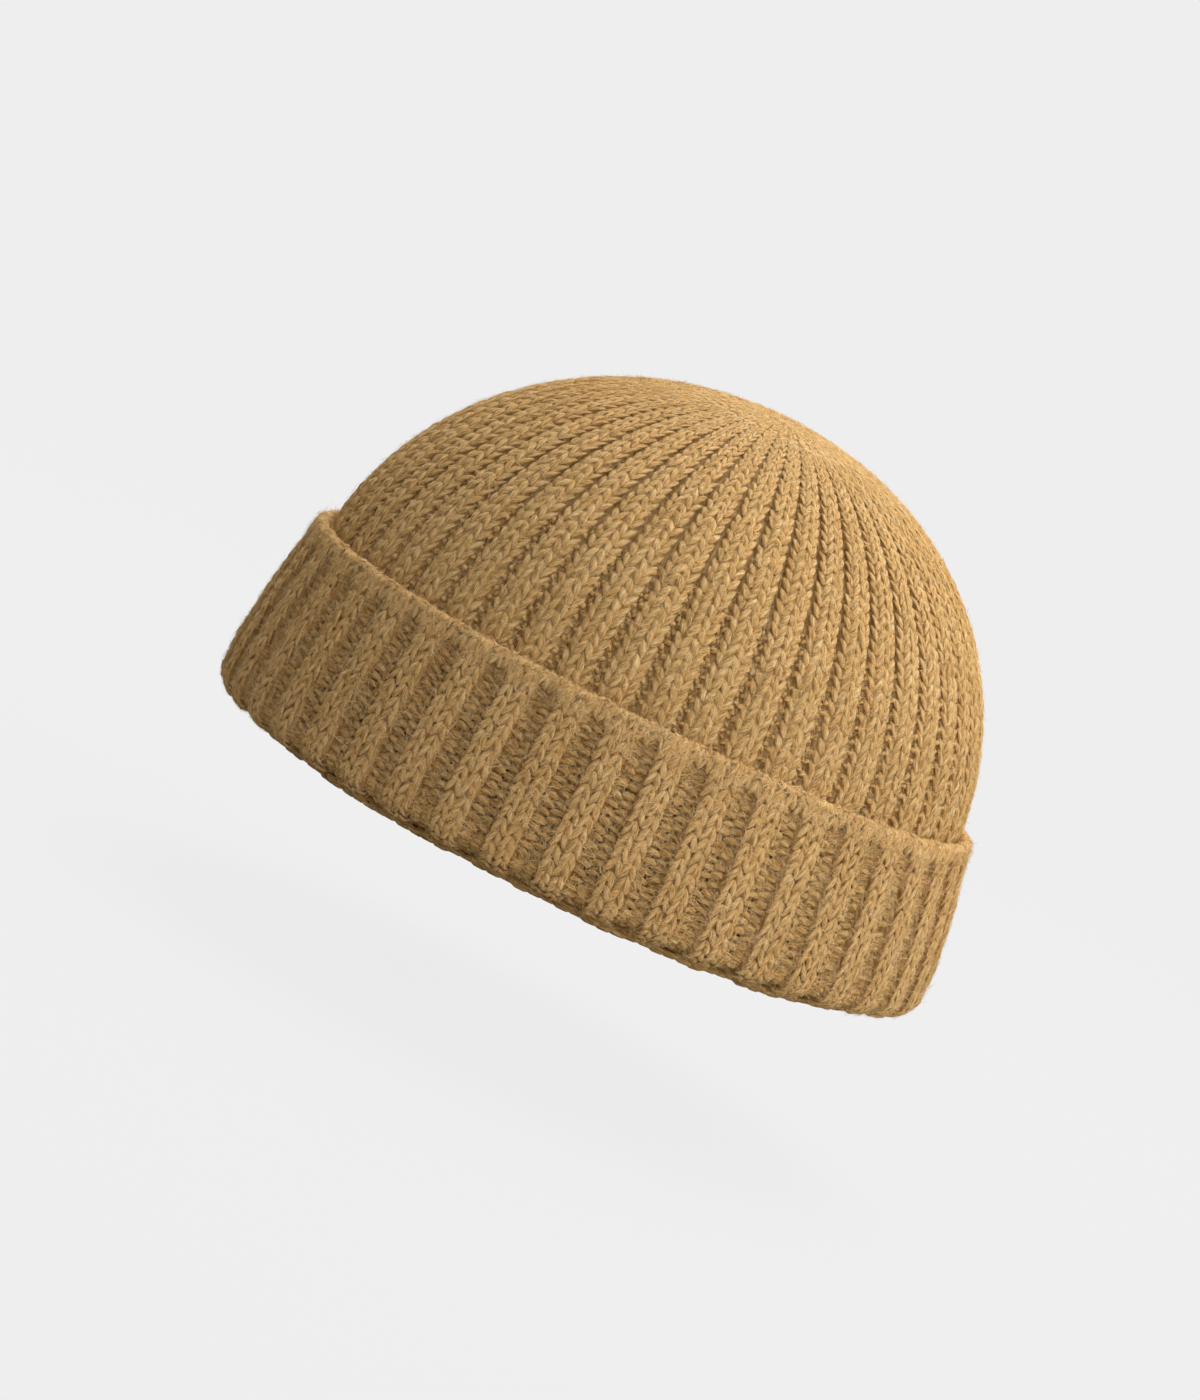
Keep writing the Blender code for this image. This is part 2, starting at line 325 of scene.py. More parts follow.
@dataclass(frozen=True)
class StudioPaper:
    """Pale seamless paper under the cap, which keeps the cap's soft shadow."""

    name: str = "studio_paper"
    colour: str = "#EEEEEE"
    shadow_share: float = 0.04  # how much of the lit paper the eye sees near the cap
    bounce: str = "#8C8A86"  # what the cap gets back from the paper, which is lit less than the cap
    near: float = 0.35  # metres from the cap where the paper starts to turn into the backdrop
    far: float = 1.1

    def material(self) -> bpy.types.Material:
        """Makes the material: lit paper near the cap that turns into the plain backdrop further out.

        Returns:
            A material that other rays than the eye's see as plain diffuse paper, and that is clear from
            below, so that the inside of the cap can be looked at.
        """
        material, tree, shader = start_material(self.name)
        tree.nodes.remove(shader)
        place = add_node(tree, "ShaderNodeTexCoord").outputs["Object"]
        reach = add_node(tree, "ShaderNodeVectorMath", {0: place}, operation="LENGTH").outputs["Value"]
        share = add_node(tree, "ShaderNodeMapRange", {
            0: reach, 1: self.near, 2: self.far, 3: 1 - self.shadow_share, 4: 1.0,
        }, interpolation_type="SMOOTHSTEP").outputs[0]
        seen = background_rays(tree)
        plain = add_node(tree, "ShaderNodeMath", {0: seen, 1: share}, operation="MULTIPLY").outputs[0]
        tint = add_node(tree, "ShaderNodeMix", {
            "Factor": seen, "A": linear(self.bounce), "B": linear(self.colour),
        }, data_type="RGBA")
        lit = add_node(tree, "ShaderNodeBsdfDiffuse", {"Color": tint.outputs["Result"]}).outputs[0]
        flat = add_node(tree, "ShaderNodeEmission", {"Color": linear(self.colour)}).outputs[0]
        mixed = add_node(tree, "ShaderNodeMixShader", {0: plain, 1: lit, 2: flat}).outputs[0]
        under = add_node(tree, "ShaderNodeNewGeometry").outputs["Backfacing"]
        clear = add_node(tree, "ShaderNodeBsdfTransparent").outputs[0]
        sided = add_node(tree, "ShaderNodeMixShader", {0: under, 1: mixed, 2: clear}).outputs[0]
        set_inputs(tree, tree.nodes["Material Output"], {"Surface": sided})
        return material


def background_rays(tree: bpy.types.NodeTree) -> Socket:
    """Marks the rays that see the backdrop: the eye's own, reflected and passed through.

    Args:
        tree: The node tree to add to.

    Returns:
        A socket that is 1 for those rays and 0 for the rest.
    """
    rays = add_node(tree, "ShaderNodeLightPath").outputs
    some = add_node(tree, "ShaderNodeMath", {
        0: rays["Is Camera Ray"], 1: rays["Is Glossy Ray"],
    }, operation="MAXIMUM").outputs[0]
    return add_node(tree, "ShaderNodeMath", {
        0: some, 1: rays["Is Transmission Ray"],
    }, operation="MAXIMUM").outputs[0]


class Wardrobe:
    """Holds one material for each finish."""

    def __init__(self) -> None:
        """Makes the materials."""
        self.wool = CamelWool().material()
        self.fibre = LooseFibre().material()
        self.gather = CamelWool(name="camel_gather_yarn", ply_length=5.0).material()
        self.thread = CamelWool(
            name="sewing_thread", deep="#8C6A40", body="#AE8A58", pale="#C7A878", ply_length=1.6, sheen=0.1
        ).material()
        self.satin = LabelSatin().material()


class Layer(Enum):
    """The material slots of a knitted piece."""

    YARN = 0
    FIBRE = 1


class Bundle:
    """Gathers the surfaces of one piece and turns them into one mesh."""

    def __init__(self) -> None:
        """Starts empty."""
        self.points: list[Array] = []
        self.tones: list[Array] = []
        self.corners: list[Array] = []
        self.counts: list[Array] = []
        self.maps: list[Array] = []
        self.layers: list[Array] = []
        self.total = 0

    def add(self, points: Array, faces: Array, stitch: Array, tone: Array | float, layer: Layer) -> None:
        """Adds faces that all have the same number of corners.

        Args:
            points: The points, n by 3.
            faces: Each face's point numbers, by face and corner.
            stitch: The stitch map, by face, corner and 2.
            tone: The tone of each point, or of all.
            layer: The material slot.
        """
        self.points.append(points)
        self.tones.append(np.broadcast_to(tone, len(points)))
        self.extend(faces, stitch, layer, self.total)
        self.total += len(points)

    def extend(self, faces: Array, stitch: Array, layer: Layer, start: int) -> None:
        """Adds more faces on points that are already there.

        Args:
            faces: Each face's point numbers from start on, by face and corner.
            stitch: The stitch map, by face, corner and 2.
            layer: The material slot.
            start: The number of the point that the faces count from.
        """
        self.corners.append((faces + start).reshape(-1))
        self.counts.append(np.full(len(faces), faces.shape[1]))
        self.maps.append(stitch.reshape(-1, 2))
        self.layers.append(np.full(len(faces), layer.value))

    def make(self, name: str, materials: Sequence[bpy.types.Material]) -> bpy.types.Object:
        """Turns the bundle into an object at the origin.

        Args:
            name: The object's name.
            materials: The materials in the order of Layer.

        Returns:
            The new object.
        """
        mesh = bpy.data.meshes.new(name)
        points = np.concatenate(self.points)
        corners, counts = np.concatenate(self.corners), np.concatenate(self.counts)
        mesh.vertices.add(len(points))
        mesh.vertices.foreach_set("co", points.astype(np.float32).reshape(-1))
        mesh.loops.add(len(corners))
        mesh.loops.foreach_set("vertex_index", corners.astype(np.int32))
        mesh.polygons.add(len(counts))
        starts = np.concatenate([[0], np.cumsum(counts)[:-1]])
        mesh.polygons.foreach_set("loop_start", starts.astype(np.int32))
        mesh.polygons.foreach_set("material_index", np.concatenate(self.layers).astype(np.int32))
        mesh.polygons.foreach_set("use_smooth", np.ones(len(counts), bool))
        layer = mesh.uv_layers.new(name=STITCH_MAP)
        layer.data.foreach_set("uv", np.concatenate(self.maps).astype(np.float32).reshape(-1))
        tone = mesh.attributes.new(TONE, "FLOAT", "POINT")
        tone.data.foreach_set("value", np.concatenate(self.tones).astype(np.float32))
        mesh.update(calc_edges=True)
        mesh.validate()
        for material in materials:
            mesh.materials.append(material)
        piece = bpy.data.objects.new(name, mesh)
        bpy.context.scene.collection.objects.link(piece)
        LOG.info("%s: %d triangles", name, int((counts - 2).sum()))
        return piece


def grid_corners(rows: Array, columns: Array) -> tuple[Array, Array]:
    """Lists the corners of a grid's faces.

    Args:
        rows: The numbers of the faces' first rows.
        columns: The numbers of their first columns.

    Returns:
        The rows and the columns at the corners, by face and corner.
    """
    row, column = (numbers.reshape(-1, 1) for numbers in np.meshgrid(rows, columns, indexing="ij"))
    return row + np.array([0, 1, 1, 0]), column + np.array([0, 0, 1, 1])


def sweep(
    bundle: Bundle, middle: Array, outward: Array, across: Array, lift: Array, sides: int, tone: Array,
    length: Array, start: Array,
) -> None:
    """Carries an oval along each strand's middle line and closes it to a point at both ends.

    The oval's half axes lie across the strand in the surface and along the surface's outward direction.

    Args:
        bundle: The bundle that gets the strands.
        middle: Middle lines, by strand, station and 3. The first and last stations are the points.
        outward: The surface's outward direction at the same places.
        across: The oval's half width, by strand and station.
        lift: The oval's half thickness, by strand and station.
        sides: How many points go round the strand.
        tone: Each strand's tone.
        length: Each strand's length in millimetres for its stitch map.
        start: Where each strand's stitch map starts, in millimetres.
    """
    strands, stations = middle.shape[:2]
    along = unit(np.gradient(middle, axis=1))
    aside = unit(np.cross(along, outward))
    upward = np.cross(aside, along)
    turn = 2 * np.pi * np.arange(sides) / sides
    inner = slice(1, -1)
    rings = (
        middle[:, inner, None]
        + np.cos(turn)[:, None] * (aside * across[..., None])[:, inner, None]
        + np.sin(turn)[:, None] * (upward * lift[..., None])[:, inner, None]
    )
    points = np.concatenate([middle[:, :1], rings.reshape(strands, -1, 3), middle[:, -1:]], axis=1)
    per_strand = points.shape[1]

    def number(station: Array, side: Array) -> Array:
        """The point number of a station and a side within one strand."""
        ring = 1 + (station - 1) * sides + side % sides
        return np.where(station == 0, 0, np.where(station == stations - 1, per_strand - 1, ring))

    def add_faces(station: Array, side: Array, first: bool) -> None:
        """Adds faces to every strand.

        Args:
            station: The stations at the corners, by face and corner.
            side: The sides at the corners, by face and corner.
            first: Whether the strands' points are still to be added.
        """
        base = number(station, side)
        faces = (base + per_strand * np.arange(strands)[:, None, None]).reshape(-1, base.shape[1])
        share = station / (stations - 1)
        v = start[:, None, None] + length[:, None, None] * share
        u = np.broadcast_to(side / sides, v.shape)
        stitch = np.stack([u, v], axis=-1)
        if first:
            bundle.add(points.reshape(-1, 3), faces, stitch, np.repeat(tone, per_strand), Layer.YARN)
        else:
            bundle.extend(faces, stitch, Layer.YARN, bundle.total - strands * per_strand)

    side = np.arange(sides)
    add_faces(*grid_corners(np.arange(1, stations - 2), side), True)
    zero, last = np.zeros(sides, int), np.full(sides, stations - 1)
    add_faces(np.stack([zero, zero + 1, zero + 1], 1), np.stack([side, side, side + 1], 1), False)
    add_faces(np.stack([last - 1, last, last - 1], 1), np.stack([side, side, side + 1], 1), False)


def tube(bundle: Bundle, route: Array, radius: float, sides: int, tone: float) -> None:
    """Carries a circle along one closed route.

    Args:
        bundle: The bundle that gets the tube.
        route: The points of the closed route, n by 3.
        radius: The circle's radius.
        sides: How many points go round.
        tone: The tube's tone.
    """
    ahead = np.roll(route, -1, axis=0)
    along = unit(ahead - np.roll(route, 1, axis=0))
    guide = unit(route - route.mean(axis=0) + np.array([1e-6, 2e-6, 3e-6]))
    aside = unit(np.cross(along, guide))
    upward = np.cross(aside, along)
    turn = 2 * np.pi * np.arange(sides) / sides
    rings = route[:, None] + radius * (
        np.cos(turn)[:, None] * aside[:, None] + np.sin(turn)[:, None] * upward[:, None]
    )
    count = len(route)
    step = np.linalg.norm(ahead - route, axis=1)
    where = np.concatenate([[0], np.cumsum(step)]) / MM
    station, side = grid_corners(np.arange(count), np.arange(sides))
    faces = (station % count) * sides + side % sides
    stitch = np.stack([side / sides, where[station]], axis=-1)
    bundle.add(rings.reshape(-1, 3), faces, stitch, tone, Layer.YARN)


@dataclass(frozen=True)
class CapSizes:
    """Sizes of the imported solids, in metres."""

    wall_radius: float
    inner_radius: float
    dome_start: float
    top: float
    lean: float
    fold_axis_radius: float
    fold_axis_height: float
    fold_radius: float
    cuff_top: float
    cuff_ribs: int
    body_ribs: int = 48
    fullness: float = 2.06
    bulge: float = 0.0145  # how much wider the dome is above the cuff, as a share
    edge_radius: float = 2.2 * MM

    @classmethod
    def read(cls, nodes: Sequence[str]) -> "CapSizes":
        """Reads the sizes from the solids' boxes.

        Args:
            nodes: The names of the CAD nodes.

        Returns:
            The sizes. The yarn of the wall stands a little further out than the solids.
        """
        wall_low, wall_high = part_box("side_wall")
        rib_low, rib_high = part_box("cuff_rib_01")
        ring_low, ring_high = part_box("crown_gather_yarn")
        fold_radius = (rib_high.x - rib_low.x) / 2
        return cls(
            wall_radius=(wall_high.x - wall_low.x) / 2 + 0.2 * MM,
            inner_radius=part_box("back_seam")[1].y + 0.3 * MM,
            dome_start=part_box("crown_dome")[0].z,
            top=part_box("crown_cap")[1].z,
            lean=(ring_low.y + ring_high.y) / 2,
            fold_axis_radius=rib_low.x + fold_radius,
            fold_axis_height=rib_low.z + fold_radius,
            fold_radius=fold_radius,
            cuff_top=rib_high.z,
            cuff_ribs=sum(name.startswith("cuff_rib_") for name in nodes),
        )


class ProfilePath:
    """A profile carried round the cap's axis, measured by its arc length.

    Walking along the path, the outward side is on the right.
    """

    def __init__(self, radius: Array, height: Array, sizes: CapSizes, closed: bool = False) -> None:
        """Measures the path.

        Args:
            radius: Distances from the axis.
            height: Heights over the rim plane.
            sizes: The cap's sizes, for the lean of its crown.
            closed: Whether the path ends where it starts.
        """
        step = np.hypot(np.diff(radius), np.diff(height))
        keep = np.concatenate([[True], step > 1e-7])
        self._radius, self._height = radius[keep], height[keep]
        step = np.hypot(np.diff(self._radius), np.diff(self._height))
        self._arc = np.concatenate([[0.0], np.cumsum(step)])
        self.closed, self.sizes = closed, sizes
        forward = unit(np.stack([np.gradient(self._radius, self._arc),
                                 np.gradient(self._height, self._arc)], axis=-1))
        self._out_radius, self._out_height = forward[:, 1], -forward[:, 0]

    @property
    def length(self) -> float:
        """The whole arc length."""
        return float(self._arc[-1])

    def _read(self, values: Array, arc: Array) -> Array:
        """Reads values between the path's points."""
        return np.interp(arc, self._arc, values, period=self.length if self.closed else None)

    def radius(self, arc: Array) -> Array:
        """Distance from the axis."""
        return self._read(self._radius, arc)

    def height(self, arc: Array) -> Array:
        """Height over the rim plane."""
        return self._read(self._height, arc)

    def arc_at_radius(self, radius: float, first: float, last: float) -> float:
        """Finds a place by its distance from the axis.

        Args:
            radius: The distance from the axis.
            first: Where to look from. The radius falls or rises steadily from there to last.
            last: Where to look to.

        Returns:
            The arc length there.
        """
        arc = np.linspace(first, last, 4000)
        return float(arc[np.argmin(np.abs(self.radius(arc) - radius))])

    def outward(self, angle: Array, arc: Array) -> Array:
        """The surface's outward direction.

        Args:
            angle: Angles round the axis.
            arc: Arc lengths along the path.

        Returns:
            The directions, with 3 numbers on a new last axis.
        """
        out = self._read(self._out_radius, arc)
        return unit(np.stack([out * np.cos(angle), out * np.sin(angle),
                              np.broadcast_to(self._read(self._out_height, arc), out.shape)], axis=-1))

    def place(self, angle: Array, arc: Array, lift: Array | float) -> Array:
        """Points of the surface, moved off it by lift.

        Args:
            angle: Angles round the axis.
            arc: Arc lengths along the path.
            lift: Distances off the surface.

        Returns:
            The points, with 3 numbers on a new last axis. The crown's rings move back with the square of
            their height in the dome.
        """
        radius = self.radius(arc) + lift * self._read(self._out_radius, arc)
        height = self.height(arc)
        sizes = self.sizes
        rise = np.clip((height - sizes.dome_start) / (sizes.top - sizes.dome_start), 0, None)
        return np.stack([
            radius * np.cos(angle),
            radius * np.sin(angle) + sizes.lean * rise**2,
            height + lift * self._read(self._out_height, arc),
        ], axis=-1)


class Tip(Enum):
    """Which way along the path the point of a stitch's V lies."""

    BACK = 1.0
    AHEAD = -1.0


@dataclass(frozen=True)
class Yarn:
    """How finely a strand is drawn and how full it is."""

    stations: tuple[float, ...] = (0.0, 0.07, 0.26, 0.5, 0.74, 0.93, 1.0)  # shares of its length
    sides: int = 6
    fullness: float = 0.52  # the power of a sine that its half width follows, lower for fuller ends


FINE = Yarn()
PLUMP = Yarn(stations=(0.0, 0.1, 0.35, 0.65, 0.9, 1.0), sides=5, fullness=0.45)
COARSE = Yarn(stations=(0.0, 0.2, 0.5, 0.8, 1.0), sides=4, fullness=0.6)


@dataclass(frozen=True)
class FibreShape:
    """How a single loose fibre curls, tapers and stands."""

    stations: tuple[float, ...] = (0.0, 0.4, 0.75, 1.0)  # shares of its length
    half_widths: tuple[float, ...] = (0.05 * MM, 0.045 * MM, 0.035 * MM)  # at all stations but its end
    width_spread: tuple[float, float] = (0.7, 1.3)
    curl: float = 1.6  # how far it usually turns along its length, in radians
    root: tuple[float, float] = (-0.25 * MM, 0.15 * MM)  # how far from the yarn's surface it starts
    rise: tuple[float, float] = (0.6, 1.6)  # the powers of its length that it rises with
    roll: float = 0.6  # how far it is turned about its length, in radians
    paleness: float = 2.5  # higher for fewer pale fibres


FIBRE = FibreShape()


@dataclass
class KnitFace:
    """One face of ribbed knitting on a profile path.

    A knit column, or wale, is a chain of V-shaped stitches, and each leg of a V is one plump strand. A
    furrow between ribs shows the backs of stitches as short bars across it.
    """

    path: ProfilePath
    tip: Tip
    row: float
    rng: np.random.Generator
    yarn: Yarn = FINE
    rib_width: float = 9.0 * MM
    rib_share: float = 0.9  # of the pitch, where ribs have less room than that
    crowded: tuple[float, float] = (2.6 * MM, 6.5 * MM)  # pitches at which ribs touch and stand free
    crowded_share: float = 1.02
    arch: float = 1.1 * MM  # how far a rib's sides lie below its crest
    sink: float = 0.35 * MM  # how far a leg's ends dive under the next stitches
    slack: float = 0.05  # how uneven the stitches are, in rows
    leg_reach: float = 1.38  # a leg's length, in rows
    leg_in: float = 0.04  # where a leg starts and ends, in wales from its wale's middle
    leg_out: float = 0.45
    leg_fullness: float = 0.235  # a leg's half width, in wales
    leg_depth: float = 0.43  # its half thickness, in half widths
    leg_float: float = 0.08 * MM  # how far single legs stand out
    full_wale: float = 3.5 * MM  # a narrower wale has flatter stitches
    bar_reach: float = 0.33  # half a bar's length, in furrow widths
    bar_sink: float = 0.7 * MM  # how far a bar's ends lie below its middle
    bar_float: float = 0.12 * MM
    bar_slant: float = 0.10
    painted_shade: float = 0.0  # below 0 for painted shade: yarn that lies in shade is painted darker

    def rib(self, pitch: Array) -> Array:
        """A rib's width: its own, or a share of the pitch that grows where ribs crowd.

        Args:
            pitch: How far apart the ribs' middles are.

        Returns:
            The width.
        """
        crowd = 1 - smooth_step(pitch, *self.crowded)
        share = self.rib_share + np.maximum(self.crowded_share - self.rib_share, 0.0) * crowd
        return np.minimum(self.rib_width, share * pitch)

    def legs(
        self, bundle: Bundle, angles: Array, rows: Array, ribs: int, wales: int = 2,
        raised: Array | float = 0.0,
    ) -> None:
        """Adds the V stitches of some ribs.

        A leg runs from near the wale's middle at the V's point to near its side, over more than a row.
        Its half width and thickness follow a power of a sine along it, and both its ends dive under the
        next stitches. The rib's cross-section is a parabola.

        Args:
            bundle: The bundle that gets the strands.
            angles: The angles of the ribs' middles.
            rows: The arc lengths of the rows' middles.
            ribs: How many ribs go round the cap, which sets their pitch.
            wales: How many wales a rib has.
            raised: How far the stitches stand off the surface, at each row or at all.
        """
        rng = self.rng
        share = np.array(self.yarn.stations)
        raised = np.broadcast_to(raised, len(rows))[:, None]
        shape = (len(angles), wales, 2, len(rows))
        wale = (np.arange(wales) - (wales - 1) / 2)[None, :, None, None, None]
        side = np.array([-1.0, 1.0])[None, None, :, None, None]
        stitch_shape = (len(angles), wales, 1, len(rows), 1)
        wander = rng.normal(0.0, self.slack, stitch_shape)
        wander = wander + rng.normal(0.0, 0.5 * self.slack, (*shape, 1))
        size = 1 + rng.normal(0.0, 1.2 * self.slack, (*shape, 1))
        sway = rng.normal(0.0, 0.6 * self.slack, stitch_shape)
        float_up = rng.normal(0.0, self.leg_float, (*shape, 1))
        lean = rng.normal(0.0, 0.6 * self.slack, (*shape, 1))

        arc = rows[None, None, None, :, None] + self.row * (
            wander + self.tip.value * (share - 0.5) * self.leg_reach
        )
        radius = self.path.radius(arc)
        rib = self.rib(2 * np.pi * radius / ribs)
        width = rib / wales
        spread = self.leg_in + (self.leg_out - self.leg_in) * share
        across = width * (wale + sway + side * (spread + lean * share))
        bulge = np.sin(np.pi * share)
        plump = np.where(bulge > 0, np.abs(bulge), 0) ** self.yarn.fullness
        half_width = self.leg_fullness * width * size * plump
        half_depth = self.leg_depth * half_width
        deep = self.leg_depth * self.leg_fullness * width
        fit = np.clip(width / self.full_wale, 0.25, 1.0)
        lift = raised + float_up * fit - deep * size - self.sink * fit * (1 - bulge)
        lift = lift - self.arch * fit**2 * (2 * across / rib) ** 2
        angle = angles[:, None, None, None, None] + across / radius
        self._strands(bundle, angle, arc, lift, half_width, half_depth)

    def bars(
        self, bundle: Bundle, angles: Array, rows: Array, width: Array, column: float, deep: Array | float,
        shift: float = 0.0, thick: float = 0.27, bow: float = 0.2,
    ) -> None:
        """Adds one column of the bars in the furrows.

        A bar lies across the furrow. It bows along the furrow and stands up in the middle.

        Args:
            bundle: The bundle that gets the strands.
            angles: The angles of the furrows' middles.
            rows: The arc lengths of the rows' middles.
            width: The furrow's width at each row.
            column: Where the column's middle is, in furrow widths from the furrow's middle.
            deep: How far the bars lie below the ribs' crests, at each row or at all.
            shift: How far the column is moved along the furrow, in rows.
            thick: A bar's half thickness, in rows.
            bow: How far its middle lies along the furrow from its ends, in rows.
        """
        rng = self.rng
        share = np.array(self.yarn.stations)
        shape = (len(angles), len(rows), 1)
        wander = rng.normal(0.0, self.slack, shape)
        size = 1 + rng.normal(0.0, 1.5 * self.slack, shape)
        float_up = rng.normal(0.0, self.bar_float, shape)
        slant = rng.normal(0.0, self.bar_slant, shape)
        bulge = np.sin(np.pi * share)
        reach = 2 * share - 1
        arc = rows[None, :, None] + self.row * (shift + wander + bow * (bulge - 0.5) + slant * reach)
        across = width[None, :, None] * (column + self.bar_reach * reach)
        plump = np.where(bulge > 0, np.abs(bulge), 0) ** self.yarn.fullness
        half_width = thick * self.row * size * plump
        lift = float_up - np.broadcast_to(deep, len(rows))[:, None] - self.bar_sink * (1 - bulge)
        radius = self.path.radius(arc)
        angle = angles[:, None, None] + across / radius
        self._strands(bundle, angle, arc, lift, half_width, 0.9 * half_width)

    def _strands(
        self, bundle: Bundle, angle: Array, arc: Array, lift: Array, half_width: Array, half_depth: Array
    ) -> None:
        """Lays strands out on the path and sweeps them.

        Args:
            bundle: The bundle that gets the strands.
            angle: Angles round the axis. The last axis of this and the rest runs along the strand.
            arc: Arc lengths along the path.
            lift: Distances off the surface.
            half_width: The strand's half width in the surface.
            half_depth: Its half thickness.
        """
        angle, arc, lift, half_width, half_depth = (
            values.reshape(-1, values.shape[-1])
            for values in np.broadcast_arrays(angle, arc, lift, half_width, half_depth)
        )
        middle = self.path.place(angle, arc, lift)
        count = len(middle)
        length = np.linalg.norm(middle[:, -1] - middle[:, 0], axis=1) / MM
        tone = self.rng.random(count) + self.painted_shade
        start = self.rng.random(count) * YARN_LENGTH
        sweep(bundle, middle, self.path.outward(angle, arc), half_width, half_depth, self.yarn.sides,
              tone, length, start)

    def fibres(
        self, bundle: Bundle, angles: tuple[float, float], arcs: tuple[float, float], count: int,
        relief: Callable[[Array, Array], Array], length: float = 2.6 * MM, stand: float = 0.3 * MM,
        ribs: int = 1, gather: float = 0.0,
    ) -> None:
        """Adds loose fibres: thin curled ribbons that start in the yarn and stand off it.

        Args:
            bundle: The bundle that gets the fibres.
            angles: The first and last angle of the patch.
            arcs: The first and last arc length of the patch.
            count: How many fibres.
            relief: The lift of the yarn's surface at an angle and an arc length.
            length: A fibre's usual length.
            stand: How far its end usually stands off the surface.
            ribs: How many ribs go round the cap.
            gather: How much the fibres gather where a rib's wave is highest, or lowest if below 0.
        """
        rng = self.rng
        share = np.array(FIBRE.stations)
        last = len(share) - 1
        heading = rng.uniform(0, 2 * np.pi, (count, 1)) + rng.normal(0, FIBRE.curl, (count, 1)) * share
        reach = length * rng.gamma(4.0, 0.25, (count, 1)) * share
        arc = rng.uniform(*arcs, (count, 1)) + reach * np.sin(heading)
        root = rng.uniform(*angles, (count, 1))
        root = root - gather * np.sin(ribs * root) / ribs
        angle = root + reach * np.cos(heading) / self.path.radius(arc)
        rise = stand * rng.gamma(1.5, 0.67, (count, 1)) * share ** rng.uniform(*FIBRE.rise, (count, 1))
        lift = relief(angle, arc) + rng.uniform(*FIBRE.root, (count, 1)) + rise
        middle = self.path.place(angle, arc, lift)
        along = unit(np.gradient(middle, axis=1))
        aside = unit(np.cross(along, self.path.outward(angle, arc)))
        roll = rng.uniform(-FIBRE.roll, FIBRE.roll, (count, 1, 1))
        flat = unit(np.cos(roll) * aside + np.sin(roll) * np.cross(aside, along))[:, :last]
        half = np.array(FIBRE.half_widths)[:, None] * rng.uniform(*FIBRE.width_spread, (count, 1, 1))
        sides = np.stack([middle[:, :last] - half * flat, middle[:, :last] + half * flat], axis=2)
        points = np.concatenate([sides.reshape(count, 2 * last, 3), middle[:, last:]], axis=1)
        per_fibre = points.shape[1]
        tone = np.repeat(rng.random(count) ** FIBRE.paleness, per_fibre)
        first = per_fibre * np.arange(count)[:, None]
        quads = (first[:, None] + np.array([[0, 1, 3, 2], [2, 3, 5, 4]])).reshape(-1, 4)
        bundle.add(points.reshape(-1, 3), quads, np.zeros((len(quads), 4, 2)), tone, Layer.FIBRE)
        bundle.extend(first + np.array([4, 5, 6]), np.zeros((count, 3, 2)), Layer.FIBRE,
                      bundle.total - per_fibre * count)


def shell(bundle: Bundle, points: Array, round_trip: tuple[bool, bool], tone: float) -> None:
    """Adds a grid surface.

    Args:
        bundle: The bundle that gets the surface.
        points: The grid, by its two parameters and 3.
        round_trip: Whether each parameter comes back to its start.
        tone: The surface's tone.
    """
    rows, columns = points.shape[:2]
    row, column = grid_corners(
        np.arange(rows - (not round_trip[0])), np.arange(columns - (not round_trip[1]))
    )
    faces = (row % rows) * columns + column % columns
    stitch = np.stack([SHELL_MAP[0] * row, SHELL_MAP[1] * column], axis=-1)
    bundle.add(points.reshape(-1, 3), faces, stitch, tone, Layer.YARN)


